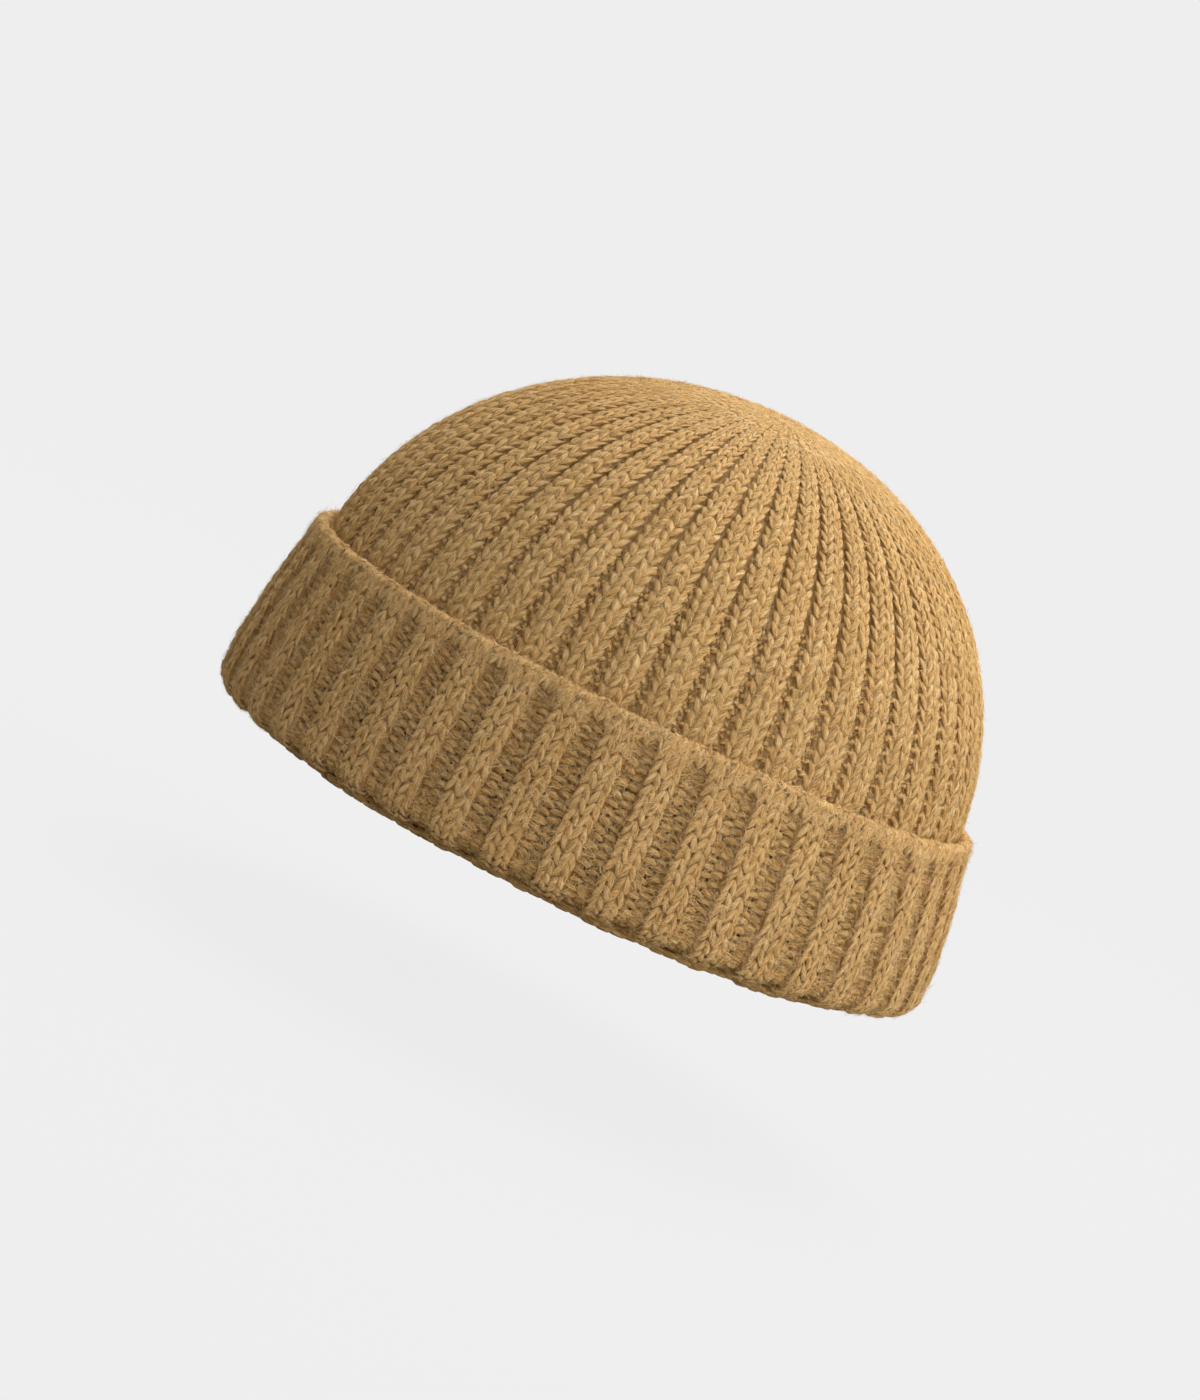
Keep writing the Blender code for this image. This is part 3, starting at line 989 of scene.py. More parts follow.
@dataclass
class BodyKnit:
    """The ribbed tube of the cap that closes into a dome, knitted outside and inside."""

    sizes: CapSizes
    row: float = 3.3 * MM
    sectors: int = 8
    crown_radius: float = 24.0 * MM
    settle: float = 0.9 * MM  # how far the crown's stitches lie below the solid's top
    lip_reach: float = 6.0 * MM  # how far the lip's strands go up outside
    lip_row: float = 1.7 * MM
    full_radius: float = 60.0 * MM  # nearer the axis the ribs are flatter
    furrow_depth: float = 2.1 * MM  # of the yarn's surface
    furrow_behind: tuple[float, float] = (2.4 * MM, 0.35 * MM)  # of the core, and what is added outside
    behind: float = 0.5 * MM  # how far the core lies behind full ribs
    bars: tuple[tuple[float, float, float], ...] = (
        (-0.4, 0.0, 1.9 * MM), (0.0, 0.5, 2.6 * MM), (0.4, 0.2, 1.9 * MM),
    )  # each column's place in furrow widths, its shift in rows and its depth
    bar_radius: float = 72.0 * MM  # nearer the axis the bars lie less deep
    bar_width: tuple[float, float] = (1.2 * MM, 2.2 * MM)  # the least furrow with bars, their least room
    fuzz: int = 3800  # fibres on a sector: usual, long, and those behind the cuff
    long_fuzz: int = 400
    hidden_fuzz: int = 700
    crown_fuzz: int = 11000
    gather: float = 0.6  # how much the fibres gather in the furrows
    crown_levels: tuple[float, ...] = (11.0 * MM, 5.0 * MM, 1.6 * MM)  # radii where wales run together
    inner_levels: tuple[float, ...] = (8.0 * MM, 2.0 * MM)
    inner_share: float = 0.8  # the inner crown's radius against the outer one's
    pieces: list[bpy.types.Object] = field(default_factory=list)

    def __post_init__(self) -> None:
        """Works out the path from the inner crown down to the rim and up outside to the crown.

        The dome is a quarter of a superellipse, the lip half a circle and the wall straight. The outside
        is clear of the cuff from a little below the cuff's edge.
        """
        sizes = self.sizes
        thick = sizes.wall_radius - sizes.inner_radius
        turn = np.linspace(0.0, np.pi / 2, 700)
        power = 2 / sizes.fullness
        rise = sizes.top - self.settle - sizes.dome_start
        cosine, sine = np.cos(turn).clip(0) ** power, np.sin(turn) ** power
        lip = np.linspace(np.pi, 2 * np.pi, 60)
        half = thick / 2
        wall = np.linspace(sizes.dome_start, half, 40)
        radius = np.concatenate([
            sizes.inner_radius * cosine[::-1], np.full_like(wall, sizes.inner_radius),
            sizes.inner_radius + half + half * np.cos(lip),
            np.full_like(wall, sizes.wall_radius), sizes.wall_radius * cosine,
        ])
        height = np.concatenate([
            sizes.dome_start + (rise - thick) * sine[::-1], wall, half + half * np.sin(lip),
            wall[::-1], sizes.dome_start + rise * sine,
        ])
        radius = radius * (1 + sizes.bulge * smooth_step(height, sizes.dome_start, sizes.cuff_top + 2 * MM))
        self.path = ProfilePath(radius, height, sizes)
        inner_half = self.path.length / 2
        arc = np.linspace(0, self.path.length, 8000)
        self.lip = float(arc[np.argmin(self.path.height(arc))])
        wall = arc[arc > self.lip]
        self.clear = float(wall[np.argmin(np.abs(self.path.height(wall) - sizes.cuff_top + 6 * MM))])
        self.crown = self.path.arc_at_radius(self.crown_radius, inner_half, self.path.length)
        inner_radius = self.crown_radius * self.inner_share
        self.inner_crown = self.path.arc_at_radius(inner_radius, 0.0, inner_half)

    def _fit(self, arc: Array) -> Array:
        """How full the ribs are: in step with the distance from the axis, up to 1."""
        return np.clip(self.path.radius(arc) / self.full_radius, 0.08, 1.0)

    def relief(self, angle: Array, arc: Array) -> Array:
        """The lift of the outer yarn's surface, which sinks where the ribs' cosine is near 1.

        Args:
            angle: Angles round the axis.
            arc: Arc lengths along the path.

        Returns:
            The lift.
        """
        furrow = smooth_step(np.cos(self.sizes.body_ribs * angle), 0.3, 0.95)
        return -self.furrow_depth * self._fit(arc) ** 1.5 * furrow - 0.2 * MM

    def face(self, seed: int, tip: Tip, yarn: Yarn) -> KnitFace:
        """A face of knitting on the body with its own random draws."""
        return KnitFace(self.path, tip, self.row, np.random.default_rng(seed), yarn)

    def build(self, wardrobe: Wardrobe) -> None:
        """Builds the core, the sectors of the wall and dome, and the crown.

        Args:
            wardrobe: The materials.
        """
        self._build_core(wardrobe)
        pitch = 2 * np.pi / self.sizes.body_ribs
        per_sector = self.sizes.body_ribs // self.sectors
        for sector in range(self.sectors):
            ribs = np.arange(per_sector) + sector * per_sector
            self._build_sector(sector, ribs * pitch, pitch, wardrobe)
        self._build_crown(pitch, wardrobe)
        for piece in self.pieces:
            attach(piece, "shell")

    def _build_core(self, wardrobe: Wardrobe) -> None:
        """Builds the closed layer behind the stitches, which follows their ribs and furrows.

        Args:
            wardrobe: The materials.
        """
        hole = 2.6 * MM
        middle = self.path.length / 2
        first = self.path.arc_at_radius(hole, 0.0, middle)
        last = self.path.arc_at_radius(hole, middle, self.path.length)
        ribs = self.sizes.body_ribs
        steps, steps_round = 110, 6 * ribs
        arc = np.linspace(first, last, steps)[:, None]
        angle = (np.arange(steps_round) * 2 * np.pi / steps_round)[None, :]
        outside = smooth_step(arc, self.lip - 1 * MM, self.lip + 1 * MM)
        wave = np.cos(ribs * angle)
        furrow = np.clip(outside * wave - (1 - outside) * wave, 0, 1)
        fit = self._fit(arc)
        depth = self.furrow_behind[0] + self.furrow_behind[1] * outside
        lift = -self.behind * fit - depth * furrow * fit**1.5 - 0.25 * MM
        bundle = Bundle()
        shell(bundle, np.swapaxes(self.path.place(angle, arc, lift), 0, 1), (True, True), 0.0)
        core = bundle.make("body_core", [wardrobe.wool])
        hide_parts("side_wall", "crown_dome", "crown_cap", "rim_roll")
        self.pieces.append(core)

    def _furrow(self, face: KnitFace, rows: Array, ribs: int) -> Array:
        """The furrow's width at each row."""
        pitch = 2 * np.pi * self.path.radius(rows) / ribs
        return pitch - face.rib(pitch)

    def _build_sector(self, sector: int, furrows: Array, pitch: float, wardrobe: Wardrobe) -> None:
        """Builds one sector of the wall and dome from the rim to the crown, outside and inside.

        Args:
            sector: The sector's number from 0.
            furrows: The angles of its outer furrows' middles.
            pitch: The angle from one rib to the next.
            wardrobe: The materials.
        """
        ribs, rise = self.sizes.body_ribs, self.lip + self.lip_reach
        crests = furrows + pitch / 2
        bundle = Bundle()
        outer = self.face(100 + sector, Tip.BACK, FINE)
        rows = np.arange(rise, self.crown, self.row)
        outer.legs(bundle, crests, rows[rows > self.clear], ribs)
        hidden = self.face(120 + sector, Tip.BACK, COARSE)
        hidden.legs(bundle, crests, rows[rows <= self.clear], ribs)
        self._add_lip(bundle, crests, pitch, outer.rng)
        width = self._furrow(outer, rows, ribs)
        wide = width > self.bar_width[0]
        bar_rows, width = rows[wide], np.maximum(width[wide], self.bar_width[1])
        back = self.face(150 + sector, Tip.BACK, COARSE)
        back.slack = 0.1
        fit = np.clip(self.path.radius(bar_rows) / self.bar_radius, 0.0, 1.0) ** 2
        for column, shift, deep in self.bars:
            back.bars(bundle, furrows, bar_rows, width, column, deep * fit, shift, thick=0.24)
        span = (furrows[0], furrows[-1] + pitch)
        seen, unseen = (self.clear, self.crown), (rise, self.clear)
        outer.fibres(bundle, span, seen, self.fuzz, self.relief, ribs=ribs, gather=self.gather)
        outer.fibres(bundle, span, seen, self.long_fuzz, self.relief, 3.2 * MM, 0.45 * MM)
        outer.fibres(bundle, span, unseen, self.hidden_fuzz, self.relief, ribs=ribs, gather=self.gather)

        inner = self.face(200 + sector, Tip.AHEAD, COARSE)
        rows = np.arange(self.inner_crown, self.lip - 5 * MM, self.row)
        inner.legs(bundle, furrows, rows, ribs)
        piece = bundle.make(f"body_knit_{sector + 1}", [wardrobe.wool, wardrobe.fibre])
        self.pieces.append(piece)

    def _add_lip(self, bundle: Bundle, ribs: Array, pitch: float, rng: np.random.Generator) -> None:
        """Adds the rolled lip: strands that run along the rim, with a shallow scallop at each rib.

        Args:
            bundle: The bundle that gets the strands.
            ribs: The angles of the ribs' middles.
            pitch: The angle from one rib to the next.
            rng: The random draws.
        """
        # The lip's strands are painted darker by their tone: painted shade under the fold.
        face = KnitFace(self.path, Tip.BACK, self.lip_row, rng, PLUMP, slack=0.12, painted_shade=-2.0)
        rows = np.arange(self.lip - 5 * MM, self.lip + self.lip_reach + 1 * MM, face.row)
        width = np.full(len(rows), pitch * self.sizes.wall_radius)
        inset = 1.7 * MM * smooth_step(rows - self.lip, 1.5 * MM, 4.5 * MM)
        for rib in ribs:
            deep = inset + rng.uniform(-0.1 * MM, 0.6 * MM)
            for column, shift in ((-0.33, 0.0), (0.0, 0.5), (0.33, 0.0)):
                face.bars(bundle, np.array([rib]), rows, width, column, deep, shift, 0.52, 0.1)

    def _build_crown(self, pitch: float, wardrobe: Wardrobe) -> None:
        """Builds the crown, where the wales run together towards the gathered top.

        Args:
            pitch: The angle from one rib to the next.
            wardrobe: The materials.
        """
        bundle, middle = Bundle(), self.path.length / 2
        outer = KnitFace(
            self.path, Tip.BACK, 2.6 * MM, np.random.default_rng(300), FINE, rib_share=1.04,
            arch=0.3 * MM, sink=0.05 * MM, slack=0.09, leg_fullness=0.3, leg_depth=0.3,
        )
        ends = [self.path.arc_at_radius(level, self.crown, self.path.length) for level in self.crown_levels]
        starts = [self.crown - 0.5 * MM, *ends]
        for first, last, merged in zip(starts, ends, (1, 2, 4)):
            ribs = self.sizes.body_ribs // merged
            angles = (np.arange(ribs) + 0.5) * pitch * merged
            outer.legs(bundle, angles, np.arange(first, last, outer.row), ribs, wales=1)
        fuzz = self.path.arc_at_radius(42 * MM, self.clear, self.path.length)
        outer.fibres(bundle, (0.0, 2 * np.pi), (fuzz, ends[-1]), self.crown_fuzz, self.relief, 2.4 * MM)
        inner = self.face(301, Tip.AHEAD, COARSE)
        lasts = [self.crown_radius * self.inner_share, *self.inner_levels]
        for first, last, merged in zip(self.inner_levels, lasts, (2, 4)):
            arcs = [self.path.arc_at_radius(radius, 0.0, middle) for radius in (first, last)]
            ribs = self.sizes.body_ribs // merged
            angles = np.arange(ribs) * pitch * merged
            inner.legs(bundle, angles, np.arange(*arcs, self.row), ribs, wales=1)
        self.pieces.append(bundle.make("crown_knit", [wardrobe.wool, wardrobe.fibre]))


@dataclass
class CuffRib:
    """One rib of the turn-up cuff, between the middles of two furrows, which turns about the fold."""

    sizes: CapSizes
    number: int
    row: float = 3.3 * MM
    purl_row: float = 2.3 * MM  # from one bar to the next down a furrow
    rib_width: float = 7.7 * MM
    gap: float = 0.3 * MM
    settle: float = 0.9 * MM  # how far the edge lies below the solid's top
    dip: tuple[float, float] = (1.5 * MM, 1.5 * MM)  # how far the edge dips at the sides, and more at one
    sag: float = 0.5 * MM  # how far the outer stitches hang out at the fold
    swell: float = 1.1 * MM  # how far they stand out above it
    ease: float = 0.2 * MM  # how far all of them lie back
    draw: float = 1.3 * MM  # how far they are drawn in at the edge
    furrow_depth: float = 2.2 * MM  # of the outer yarn's surface
    behind: float = 1.3 * MM  # how far the core lies behind the path, and what is added to that
    edge_behind: float = 1.1 * MM
    furrow_behind: float = 1.7 * MM
    core_share: float = 0.9  # how much of the outer stitches' fullness the core follows
    corners: tuple[float, float] = (0.45, 0.62)  # where its rib ends and its furrow starts, in half widths
    purl_depth: float = 2.5 * MM  # how far the furrows' bars lie below the ribs' crests
    purl_place: float = 0.24  # where a column of bars lies, in furrow widths from the furrow's middle
    purl_thick: float = 0.42  # a bar's half thickness, in rows
    gap_depth: float = 1.1 * MM  # how far the bars behind the gap lie below the inner ribs' crests
    fuzz: int = 720  # fibres: usual, long, and those on the edge
    long_fuzz: int = 150
    edge_fuzz: int = 270
    gather: float = -0.5  # how much the fibres gather in the furrows, whose wave is lowest

    def __post_init__(self) -> None:
        """Works out the closed path: round the fold, up outside, over the edge and down inside.

        The brow is where the edge's roll starts on the outside, and the top is the middle of the roll.
        """
        sizes = self.sizes
        self.pitch = 2 * np.pi / sizes.cuff_ribs
        self.angle = self.number * self.pitch
        fold, edge = sizes.fold_radius, sizes.edge_radius
        low, high = np.linspace(-np.pi / 2, 0, 60), np.linspace(0, np.pi, 80)
        aside = math.sin(self.angle)
        dip = (self.dip[0] + self.dip[1] * aside) * aside**2
        edge_up = sizes.cuff_top - sizes.fold_axis_height - edge - dip - self.settle
        back = np.linspace(np.pi, 1.5 * np.pi, 60)
        line = np.linspace(0.0, 1.0, 200)[1:-1]
        out = np.concatenate([
            fold * np.cos(low), fold + line * (2 * edge - 2 * fold), edge - fold + edge * np.cos(high),
            np.full(len(line), -fold), fold * np.cos(back),
        ])
        up = np.concatenate([
            fold * np.sin(low), line * edge_up, edge_up + edge * np.sin(high),
            edge_up * (1 - line), fold * np.sin(back),
        ])
        self.path = ProfilePath(sizes.fold_axis_radius + out, sizes.fold_axis_height + up, sizes, True)
        self.brow = fold * np.pi / 2 + math.hypot(2 * fold - 2 * edge, edge_up)
        self.top = self.brow + edge * np.pi / 2

    def build(self, wardrobe: Wardrobe) -> None:
        """Builds the rib.

        Args:
            wardrobe: The materials.
        """
        name = f"{self.number + 1:02d}"
        bundle = Bundle()
        self._add_core(bundle)
        self._add_outer_face(bundle)
        self._add_inner_face(bundle)
        self._add_edge(bundle)
        piece = bundle.make(f"cuff_knit_{name}", [wardrobe.wool, wardrobe.fibre])
        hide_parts(f"cuff_rib_{name}")
        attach(piece, f"cuff_{name}")

    def _add_core(self, bundle: Bundle) -> None:
        """Adds the closed layer behind the stitches.

        Its width leaves a gap to the next rib all the way round the turn: at each place it is the
        pitch at the least distance from the cap's axis that the place comes to, less the gap.

        Args:
            bundle: The bundle that gets the layer.
        """
        sizes = self.sizes
        steps = 56
        arc = np.linspace(0.0, self.path.length, steps, endpoint=False)[None, :]
        out = self.path.radius(arc) - sizes.fold_axis_radius
        up = self.path.height(arc) - sizes.fold_axis_height
        reach = sizes.fold_axis_radius - np.hypot(out, np.minimum(up, 0.0))
        half_width = reach * math.tan(math.pi / sizes.cuff_ribs) - self.gap / 2
        near, far = self.corners
        share = np.array([-1.0, -far, -near, near, far, 1.0])[:, None]
        fold_end = self.path.length - 4 * MM
        outside = 1 - smooth_step(arc, self.top - 1.5 * MM, self.top + 1.5 * MM)
        outside = np.maximum(outside, smooth_step(arc, fold_end, self.path.length))
        furrow = smooth_step(np.abs(share), near, far)
        edge = np.exp(-(((arc - self.top) / (6 * MM)) ** 2))
        depth = outside * furrow + (1 - outside) * (1 - furrow)
        from_fold = np.where(arc > fold_end, arc - self.path.length, arc)
        full = self.core_share * np.maximum(self.fullness(from_fold), 0.0) * outside * (1 - furrow)
        lift = (full - self.furrow_behind * depth) * (1 - edge) - self.behind - self.edge_behind * edge
        across = share * half_width
        radius = self.path.radius(arc)
        points = self.path.place(self.angle + np.arctan2(across, radius), arc, lift)
        rings, count = points.shape[:2]
        start = bundle.total
        shell(bundle, points, (False, True), 0.0)
        ring = np.arange(count)
        caps = np.stack([ring[::-1], (rings - 1) * count + ring])
        bundle.extend(caps, np.zeros((2, count, 2)), Layer.YARN, start)

    def fullness(self, arc: Array) -> Array:
        """How far the outer stitches stand off the path: full above the fold, drawn in at the edge.

        Args:
            arc: Arc lengths along the path, from below 0 at the fold.

        Returns:
            The distances.
        """
        sag = np.exp(-((arc / (3 * MM)) ** 2))
        fold = smooth_step(np.abs(arc), 5 * MM, 18 * MM)
        edge = smooth_step(arc, self.brow - 20 * MM, self.top)
        return self.sag * sag + self.swell * fold - self.ease - self.draw * edge

    def relief(self, angle: Array, arc: Array) -> Array:
        """The lift of the outer yarn's surface, which sinks where the ribs' cosine is near -1.

        Args:
            angle: Angles round the axis.
            arc: Arc lengths along the path.

        Returns:
            The lift, which doesn't sink at the edge.
        """
        furrow = smooth_step(-np.cos(self.sizes.cuff_ribs * angle), 0.2, 0.9)
        below = 1 - smooth_step(arc, self.brow - 4 * MM, self.brow)
        return self.fullness(arc) - self.furrow_depth * below * furrow - 0.2 * MM

    def _face(self, seed: int, tip: Tip, yarn: Yarn) -> KnitFace:
        """A face of knitting on the rib with its own random draws."""
        return KnitFace(self.path, tip, self.row, np.random.default_rng(seed + self.number), yarn,
                        rib_width=self.rib_width, arch=0.45 * MM)

    def _furrow(self, rows: Array) -> Array:
        """The furrow's width at each row."""
        return self.pitch * self.path.radius(rows) - self.rib_width

    def _add_outer_face(self, bundle: Bundle) -> None:
        """Adds the outer stitches: a knit rib between two half furrows, and the fibres over them.

        Args:
            bundle: The bundle that gets the stitches.
        """
        face, ribs, half = self._face(400, Tip.AHEAD, FINE), self.sizes.cuff_ribs, self.pitch / 2
        low = -2.5 * MM
        rows = np.arange(low, self.brow - 1.5 * MM, self.row)
        face.legs(bundle, np.array([self.angle]), rows, ribs, raised=self.fullness(rows))
        # The furrows' bars are painted darker by their tone: painted shade in the furrows.
        back = KnitFace(
            self.path, Tip.AHEAD, self.purl_row, face.rng, PLUMP, slack=0.09, painted_shade=-1.4
        )
        purl = np.arange(low, self.brow - 1.0 * MM, self.purl_row)
        deep = self.purl_depth - self.fullness(purl)
        for side, shift in ((-1, 0.0), (1, 0.5)):
            middle, column = np.array([self.angle + side * half]), -side * self.purl_place
            back.bars(
                bundle, middle, purl, self._furrow(purl), column, deep, shift, self.purl_thick, bow=0.25
            )
        span, start = (self.angle - half, self.angle + half), -4 * MM
        face.fibres(
            bundle, span, (start, self.brow), self.fuzz, self.relief, ribs=ribs, gather=self.gather
        )
        face.fibres(bundle, span, (start, self.top), self.long_fuzz, self.relief, 3.4 * MM, 0.5 * MM)

    def _add_inner_face(self, bundle: Bundle) -> None:
        """Adds the inner stitches: the furrow in the middle and the knit rib on one side.

        That rib lies over the gap to the next rib of the cuff, so the gap stays closed when the cuff is
        turned down.

        Args:
            bundle: The bundle that gets the stitches.
        """
        face, end = self._face(500, Tip.BACK, COARSE), self.path.length - 2 * MM
        rows = np.arange(self.top + 0.8 * MM, end, self.row)
        middle, gap = np.array([self.angle]), np.array([self.angle + self.pitch / 2])
        face.legs(bundle, gap, rows, self.sizes.cuff_ribs)
        back = KnitFace(self.path, Tip.BACK, self.purl_row, face.rng, COARSE, slack=0.09)
        purl = np.arange(2 * self.top - self.brow + 2 * MM, end, self.purl_row)
        columns = (
            (middle, -self.purl_place, self.purl_depth, 0.0),
            (middle, self.purl_place, self.purl_depth, 0.5),
            (gap, 0.0, self.gap_depth, 0.25),
        )
        for where, column, deep, shift in columns:
            back.bars(bundle, where, purl, self._furrow(purl), column, deep, shift, self.purl_thick)

    def _add_edge(self, bundle: Bundle) -> None:
        """Adds the rolled upper edge, where the furrows close and every wale shows its V stitches.

        Args:
            bundle: The bundle that gets the stitches.
        """
        face = KnitFace(
            self.path, Tip.AHEAD, 0.9 * self.row, np.random.default_rng(600 + self.number), PLUMP,
            rib_width=1.0, rib_share=1.0, arch=0.7 * MM, sink=0.2 * MM, slack=0.13,
            leg_fullness=0.28, leg_depth=0.5,
        )
        first, last = self.brow - 1.6 * MM, 2 * self.top - self.brow + 2.5 * MM
        rows, half = np.arange(first, last, face.row), self.pitch / 2
        raised = self.fullness(rows) + 0.1 * MM
        face.legs(bundle, np.array([self.angle]), rows, self.sizes.cuff_ribs, wales=4, raised=raised)
        span, arcs = (self.angle - half, self.angle + half), (first - 2 * MM, self.top + 2 * MM)
        face.fibres(bundle, span, arcs, self.edge_fuzz, self.relief, stand=0.5 * MM)


@dataclass
class CrownClosing:
    """The yarn that draws the crown closed, and its knot inside."""

    ply_offset: float = 0.5  # of a ply's middle from the ring's, in half thicknesses of the ring
    ply_radius: float = 0.55  # of a ply, likewise
    twists: int = 7  # turns of the plies in the ring
    knot_radius: float = 0.78 * MM  # of the knot's yarn
    knot_margin: float = 0.8 * MM  # from the knot's box to the middle of its yarn
    steps: int = 120  # points along each route and round it
    sides: int = 8

    def build(self, wardrobe: Wardrobe) -> None:
        """Builds the gathering ring, two plies wound round each other, and a trefoil knot.

        Args:
            wardrobe: The materials.
        """
        low, high = (np.array(corner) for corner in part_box("crown_gather_yarn"))
        middle, thick = (low + high) / 2, (high[2] - low[2]) / 2
        turn = np.linspace(0, 2 * np.pi, self.steps, endpoint=False)
        bundle = Bundle()
        ring = (high[0] - low[0]) / 2 - thick
        for ply in (0.0, np.pi):
            twist = self.twists * turn + ply
            radius = ring + self.ply_offset * thick * np.cos(twist)
            route = middle + np.stack([
                radius * np.cos(turn), radius * np.sin(turn), self.ply_offset * thick * np.sin(twist),
            ], axis=-1)
            tube(bundle, route, self.ply_radius * thick, self.sides, 0.4 + 0.1 * ply)
        yarn = bundle.make("gather_yarn", [wardrobe.gather])
        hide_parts("crown_gather_yarn")

        low, high = (np.array(corner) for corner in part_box("crown_knot"))
        middle, reach = (low + high) / 2, (high - low) / 2
        wave = np.stack([
            np.sin(turn) + 2 * np.sin(2 * turn), np.cos(turn) - 2 * np.cos(2 * turn),
            -3 * np.sin(3 * turn),
        ], axis=-1) / 3
        bundle = Bundle()
        tube(bundle, middle + wave * (reach - self.knot_margin), self.knot_radius, self.sides, 0.5)
        knot = bundle.make("gather_knot", [wardrobe.gather])
        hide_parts("crown_knot")
        for piece in (yarn, knot):
            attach(piece, "shell")


@dataclass
class BackSeam:
    """The seam inside the back: a raised chain of stitches from above the rim to the crown."""

    body: BodyKnit
    angle: float = math.pi / 2
    stitch: float = 3.0 * MM  # a stitch's length and the chain's width
    raised: float = 2.2 * MM

    def build(self, wardrobe: Wardrobe) -> None:
        """Builds the seam along the inner face.

        Args:
            wardrobe: The materials.
        """
        low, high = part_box("back_seam")
        path = self.body.path
        arc = np.linspace(0, self.body.lip, 4000)
        height = path.height(arc)
        first = float(arc[np.argmin(np.abs(height - high.z))])
        last = float(arc[np.argmin(np.abs(height - low.z))])
        face = KnitFace(
            path, Tip.AHEAD, self.stitch, np.random.default_rng(700), FINE, rib_width=self.stitch,
            rib_share=1.0, arch=0.0, sink=0.5 * MM,
        )
        bundle, ribs = Bundle(), self.body.sizes.body_ribs
        rows = np.arange(first, last, self.stitch)
        face.legs(bundle, np.array([self.angle]), rows, ribs, wales=1, raised=self.raised)
        seam = bundle.make("seam_chain", [wardrobe.wool])
        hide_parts("back_seam")
        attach(seam, "shell")


@dataclass
class CareLabel:
    """A blank woven label, sewn to the seam by a stitched tack at each upper corner."""

    thick: float = 0.5 * MM
    hem: float = 2.6 * MM
    tape_share: float = 0.55  # the tape's thickness above the hem, as a share
    sway: float = 0.18 * MM  # how far the tape waves
    steps: tuple[int, int] = (57, 41)  # points across the label and down it
    threads: int = 5  # in a tack
    thread_radius: float = 0.24 * MM

    def build(self, wardrobe: Wardrobe) -> None:
        """Builds the label, a flat tape with a slight wave and a thicker hem, and its tacks.

        Args:
            wardrobe: The materials.
        """
        low, high = (np.array(corner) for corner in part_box("care_label"))
        width, drop = high[0] - low[0], high[2] - low[2]
        middle = (low + high) / 2
        columns, rows = self.steps
        across = np.linspace(-0.5, 0.5, columns)[:, None]
        down = np.linspace(0.0, 1.0, rows)
        face = 2 * np.concatenate([np.zeros(rows), np.ones(rows)])[None, :] - 1
        drop_at = np.concatenate([down, down[::-1]])[None, :]
        hem = smooth_step(drop_at * drop, drop - self.hem - 0.3 * MM, drop - self.hem)
        half = self.thick / 2 * (self.tape_share + (1 - self.tape_share) * hem)
        sway = self.sway * np.sin(7.0 * across + 2.2 * drop_at) * drop_at
        points = np.stack(np.broadcast_arrays(
            middle[0] + across * width, middle[1] + sway + face * half, high[2] - drop_at * drop
        ), axis=-1)
        bundle = Bundle()
        shell(bundle, points, (False, True), 0.5)
        ring = np.arange(2 * rows)
        caps = np.stack([ring[::-1], (columns - 1) * len(ring) + ring])
        bundle.extend(caps, np.zeros((2, len(ring), 2)), Layer.YARN, 0)
        label = bundle.make("woven_label", [wardrobe.satin])
        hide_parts("care_label")
        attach(label, "label")
        for side in ("left", "right"):
            self._build_tack(side, wardrobe)

    def _build_tack(self, side: str, wardrobe: Wardrobe) -> None:
        """Builds one tack of threads side by side, each a strand from the seam to the label.

        Args:
            side: The upper corner, left or right.
            wardrobe: The materials.
        """
        low, high = (np.array(corner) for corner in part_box(f"label_tack_{side}"))
        threads = self.threads
        share = np.linspace(0, 1, 7)
        lane = (np.arange(threads)[:, None] + 0.5) / threads
        arch = np.sin(np.pi * share)
        middle = np.stack(np.broadcast_arrays(
            low[0] + (high[0] - low[0]) * (0.15 + 0.7 * share),
            low[1] + (high[1] - low[1]) * (0.75 - 0.55 * arch),
            low[2] + (high[2] - low[2]) * lane,
        ), axis=-1)
        outward = np.broadcast_to(np.array([0.0, -1.0, 0.0]), middle.shape)
        half = np.broadcast_to(self.thread_radius * np.abs(arch) ** 0.4, middle.shape[:2])
        bundle = Bundle()
        sweep(bundle, middle, outward, half, half, 6, np.linspace(0.3, 0.6, threads),
              np.full(threads, 3.0), np.arange(threads) * 4.0)
        tack = bundle.make(f"label_stitch_{side}", [wardrobe.thread])
        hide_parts(f"label_tack_{side}")
        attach(tack, "shell")


@dataclass(frozen=True)
class Lamp:
    """A large round lamp, by its place from the cap in metres to the picture's right, up and front."""

    name: str
    right: float
    up: float
    front: float
    power: float
    size: float = 0.9

    def build(self, axes: tuple[Vector, Vector, Vector], aim: Vector) -> None:
        """Places the lamp so that it shines on the cap.

        Args:
            axes: The picture's right, up and front directions.
            aim: The point to shine on.
        """
        offset = axes[0] * self.right + axes[1] * self.up + axes[2] * self.front
        data = bpy.data.lights.new(self.name, "AREA")
        data.shape, data.size, data.energy = "DISK", self.size, self.power
        lamp = bpy.data.objects.new(self.name, data)
        lamp.matrix_world = Matrix.Translation(aim + offset) @ (
            offset.to_track_quat("Z", "Y").to_matrix().to_4x4()
        )
        bpy.context.scene.collection.objects.link(lamp)


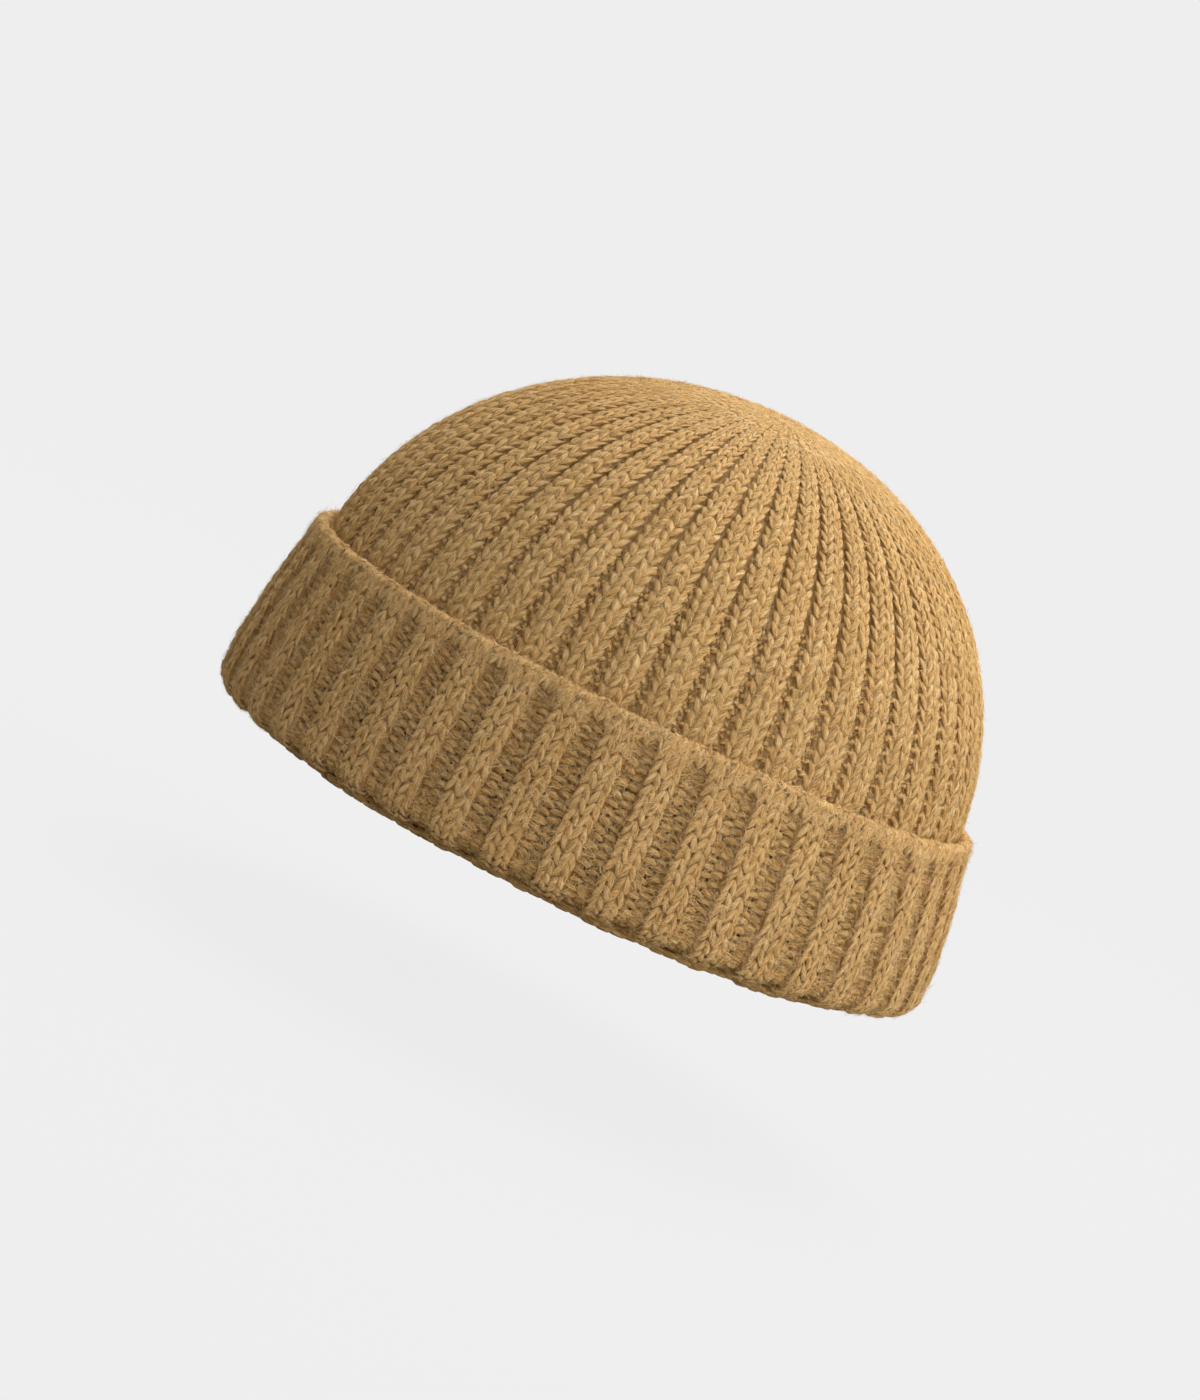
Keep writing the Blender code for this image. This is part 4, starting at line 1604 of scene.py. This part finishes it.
@dataclass
class Studio:
    """The floor, the light and the camera."""

    floor: float = -0.047  # below the turned-down cuff
    elevation: float = 7.0  # of the camera, in degrees, and its roll
    roll: float = 26.0
    distance: float = 2.1
    lens: float = 211.0  # millimetres
    aim_height: float = 0.065
    aside: float = -18.2 * MM  # how far the picture's middle lies right of the aim, and above it
    above: float = -18.6 * MM
    world_strength: float = 0.30
    surround: str = "#FFFFFF"  # what lights the cap from all sides
    backdrop: str = "#EEEEEE"  # what the eye sees behind it
    lamps: tuple[Lamp, ...] = (
        Lamp("side_light", 1.2, 0.3, 0.1, 1.9),
        Lamp("high_light", 0.6, 1.1, 0.0, 8.3),
        Lamp("low_fill", 0.9, -0.35, 0.8, 3.7),
        Lamp("low_side", 1.1, -0.3, 0.3, 2.6),
        Lamp("rear_light", 0.5, 0.8, -0.6, 6.3),
        Lamp("front_fill", 0.3, 0.1, 1.3, 3.5),
    )

    def axes(self) -> tuple[Vector, Vector, Vector]:
        """Works out the camera's directions: it looks along -X and is rolled.

        Returns:
            The right, up and backward directions.
        """
        rise, roll = math.radians(self.elevation), math.radians(self.roll)
        back = Vector((math.cos(rise), 0.0, math.sin(rise)))
        level, upright = Vector((0.0, 1.0, 0.0)), Vector((-math.sin(rise), 0.0, math.cos(rise)))
        right = level * math.cos(roll) + upright * math.sin(roll)
        up = upright * math.cos(roll) - level * math.sin(roll)
        return right, up, back

    def build(self) -> None:
        """Builds the floor, the light and the camera."""
        self._build_camera()
        self._build_floor()
        self._build_light()

    def _build_camera(self) -> None:
        """Places the camera. The sensor's width is the picture's long side."""
        right, up, back = self.axes()
        data = bpy.data.cameras.new("photo_camera")
        data.sensor_width, data.lens = 36.0, self.lens
        data.clip_start, data.clip_end = 0.05, 60.0
        camera = bpy.data.objects.new("photo_camera", data)
        bpy.context.scene.collection.objects.link(camera)
        aim = Vector((0.0, 0.0, self.aim_height)) + right * self.aside + up * self.above
        turn = Matrix((right, up, back)).transposed().to_4x4()
        camera.matrix_world = Matrix.Translation(aim + back * self.distance) @ turn
        bpy.context.scene.camera = camera

    def _build_floor(self) -> None:
        """Builds a wide round floor of rings under the cap and its turned-down cuff."""
        sides = 64
        reach = np.concatenate([np.linspace(0.02, 1.2, 12), [3.0, 10.0, 40.0]])[:, None]
        turn = np.linspace(0, 2 * np.pi, sides, endpoint=False)
        points = np.stack(np.broadcast_arrays(
            reach * np.cos(turn), reach * np.sin(turn), self.floor + 0 * turn
        ), axis=-1)
        bundle = Bundle()
        shell(bundle, points, (False, True), 0.0)
        bundle.extend(np.arange(sides)[None, :], np.zeros((1, sides, 2)), Layer.YARN, 0)
        floor = bundle.make("studio_floor", [StudioPaper().material()])

    def _build_light(self) -> None:
        """Builds the lamps, most of them to the picture's right, and an even pale surround."""
        aim = Vector((0.0, 0.0, self.aim_height))
        for lamp in self.lamps:
            lamp.build(self.axes(), aim)
        world = bpy.data.worlds.new("studio_surround")
        bpy.context.scene.world = world
        world.use_nodes = True
        tree = world.node_tree
        tree.nodes.clear()
        seen = background_rays(tree)
        soft = add_node(tree, "ShaderNodeBackground", {
            "Color": linear(self.surround), "Strength": self.world_strength,
        }).outputs[0]
        plain = add_node(tree, "ShaderNodeBackground", {
            "Color": linear(self.backdrop), "Strength": 1.0,
        }).outputs[0]
        mixed = add_node(tree, "ShaderNodeMixShader", {0: seen, 1: soft, 2: plain}).outputs[0]
        add_node(tree, "ShaderNodeOutputWorld", {"Surface": mixed})


def main() -> None:
    """Dresses the frame: reads the cap's sizes, builds camera and light, then each part of the cap."""
    logging.basicConfig(level=logging.INFO, format="%(name)s: %(message)s")
    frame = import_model()
    bpy.context.scene.view_settings.view_transform = "Standard"
    sizes = CapSizes.read(list(frame["nodes"]))
    wardrobe = Wardrobe()
    Studio().build()
    body = BodyKnit(sizes)
    body.build(wardrobe)
    for number in range(sizes.cuff_ribs):
        CuffRib(sizes, number).build(wardrobe)
    CrownClosing().build(wardrobe)
    BackSeam(body).build(wardrobe)
    CareLabel().build(wardrobe)


if __name__ == "__main__":
    main()
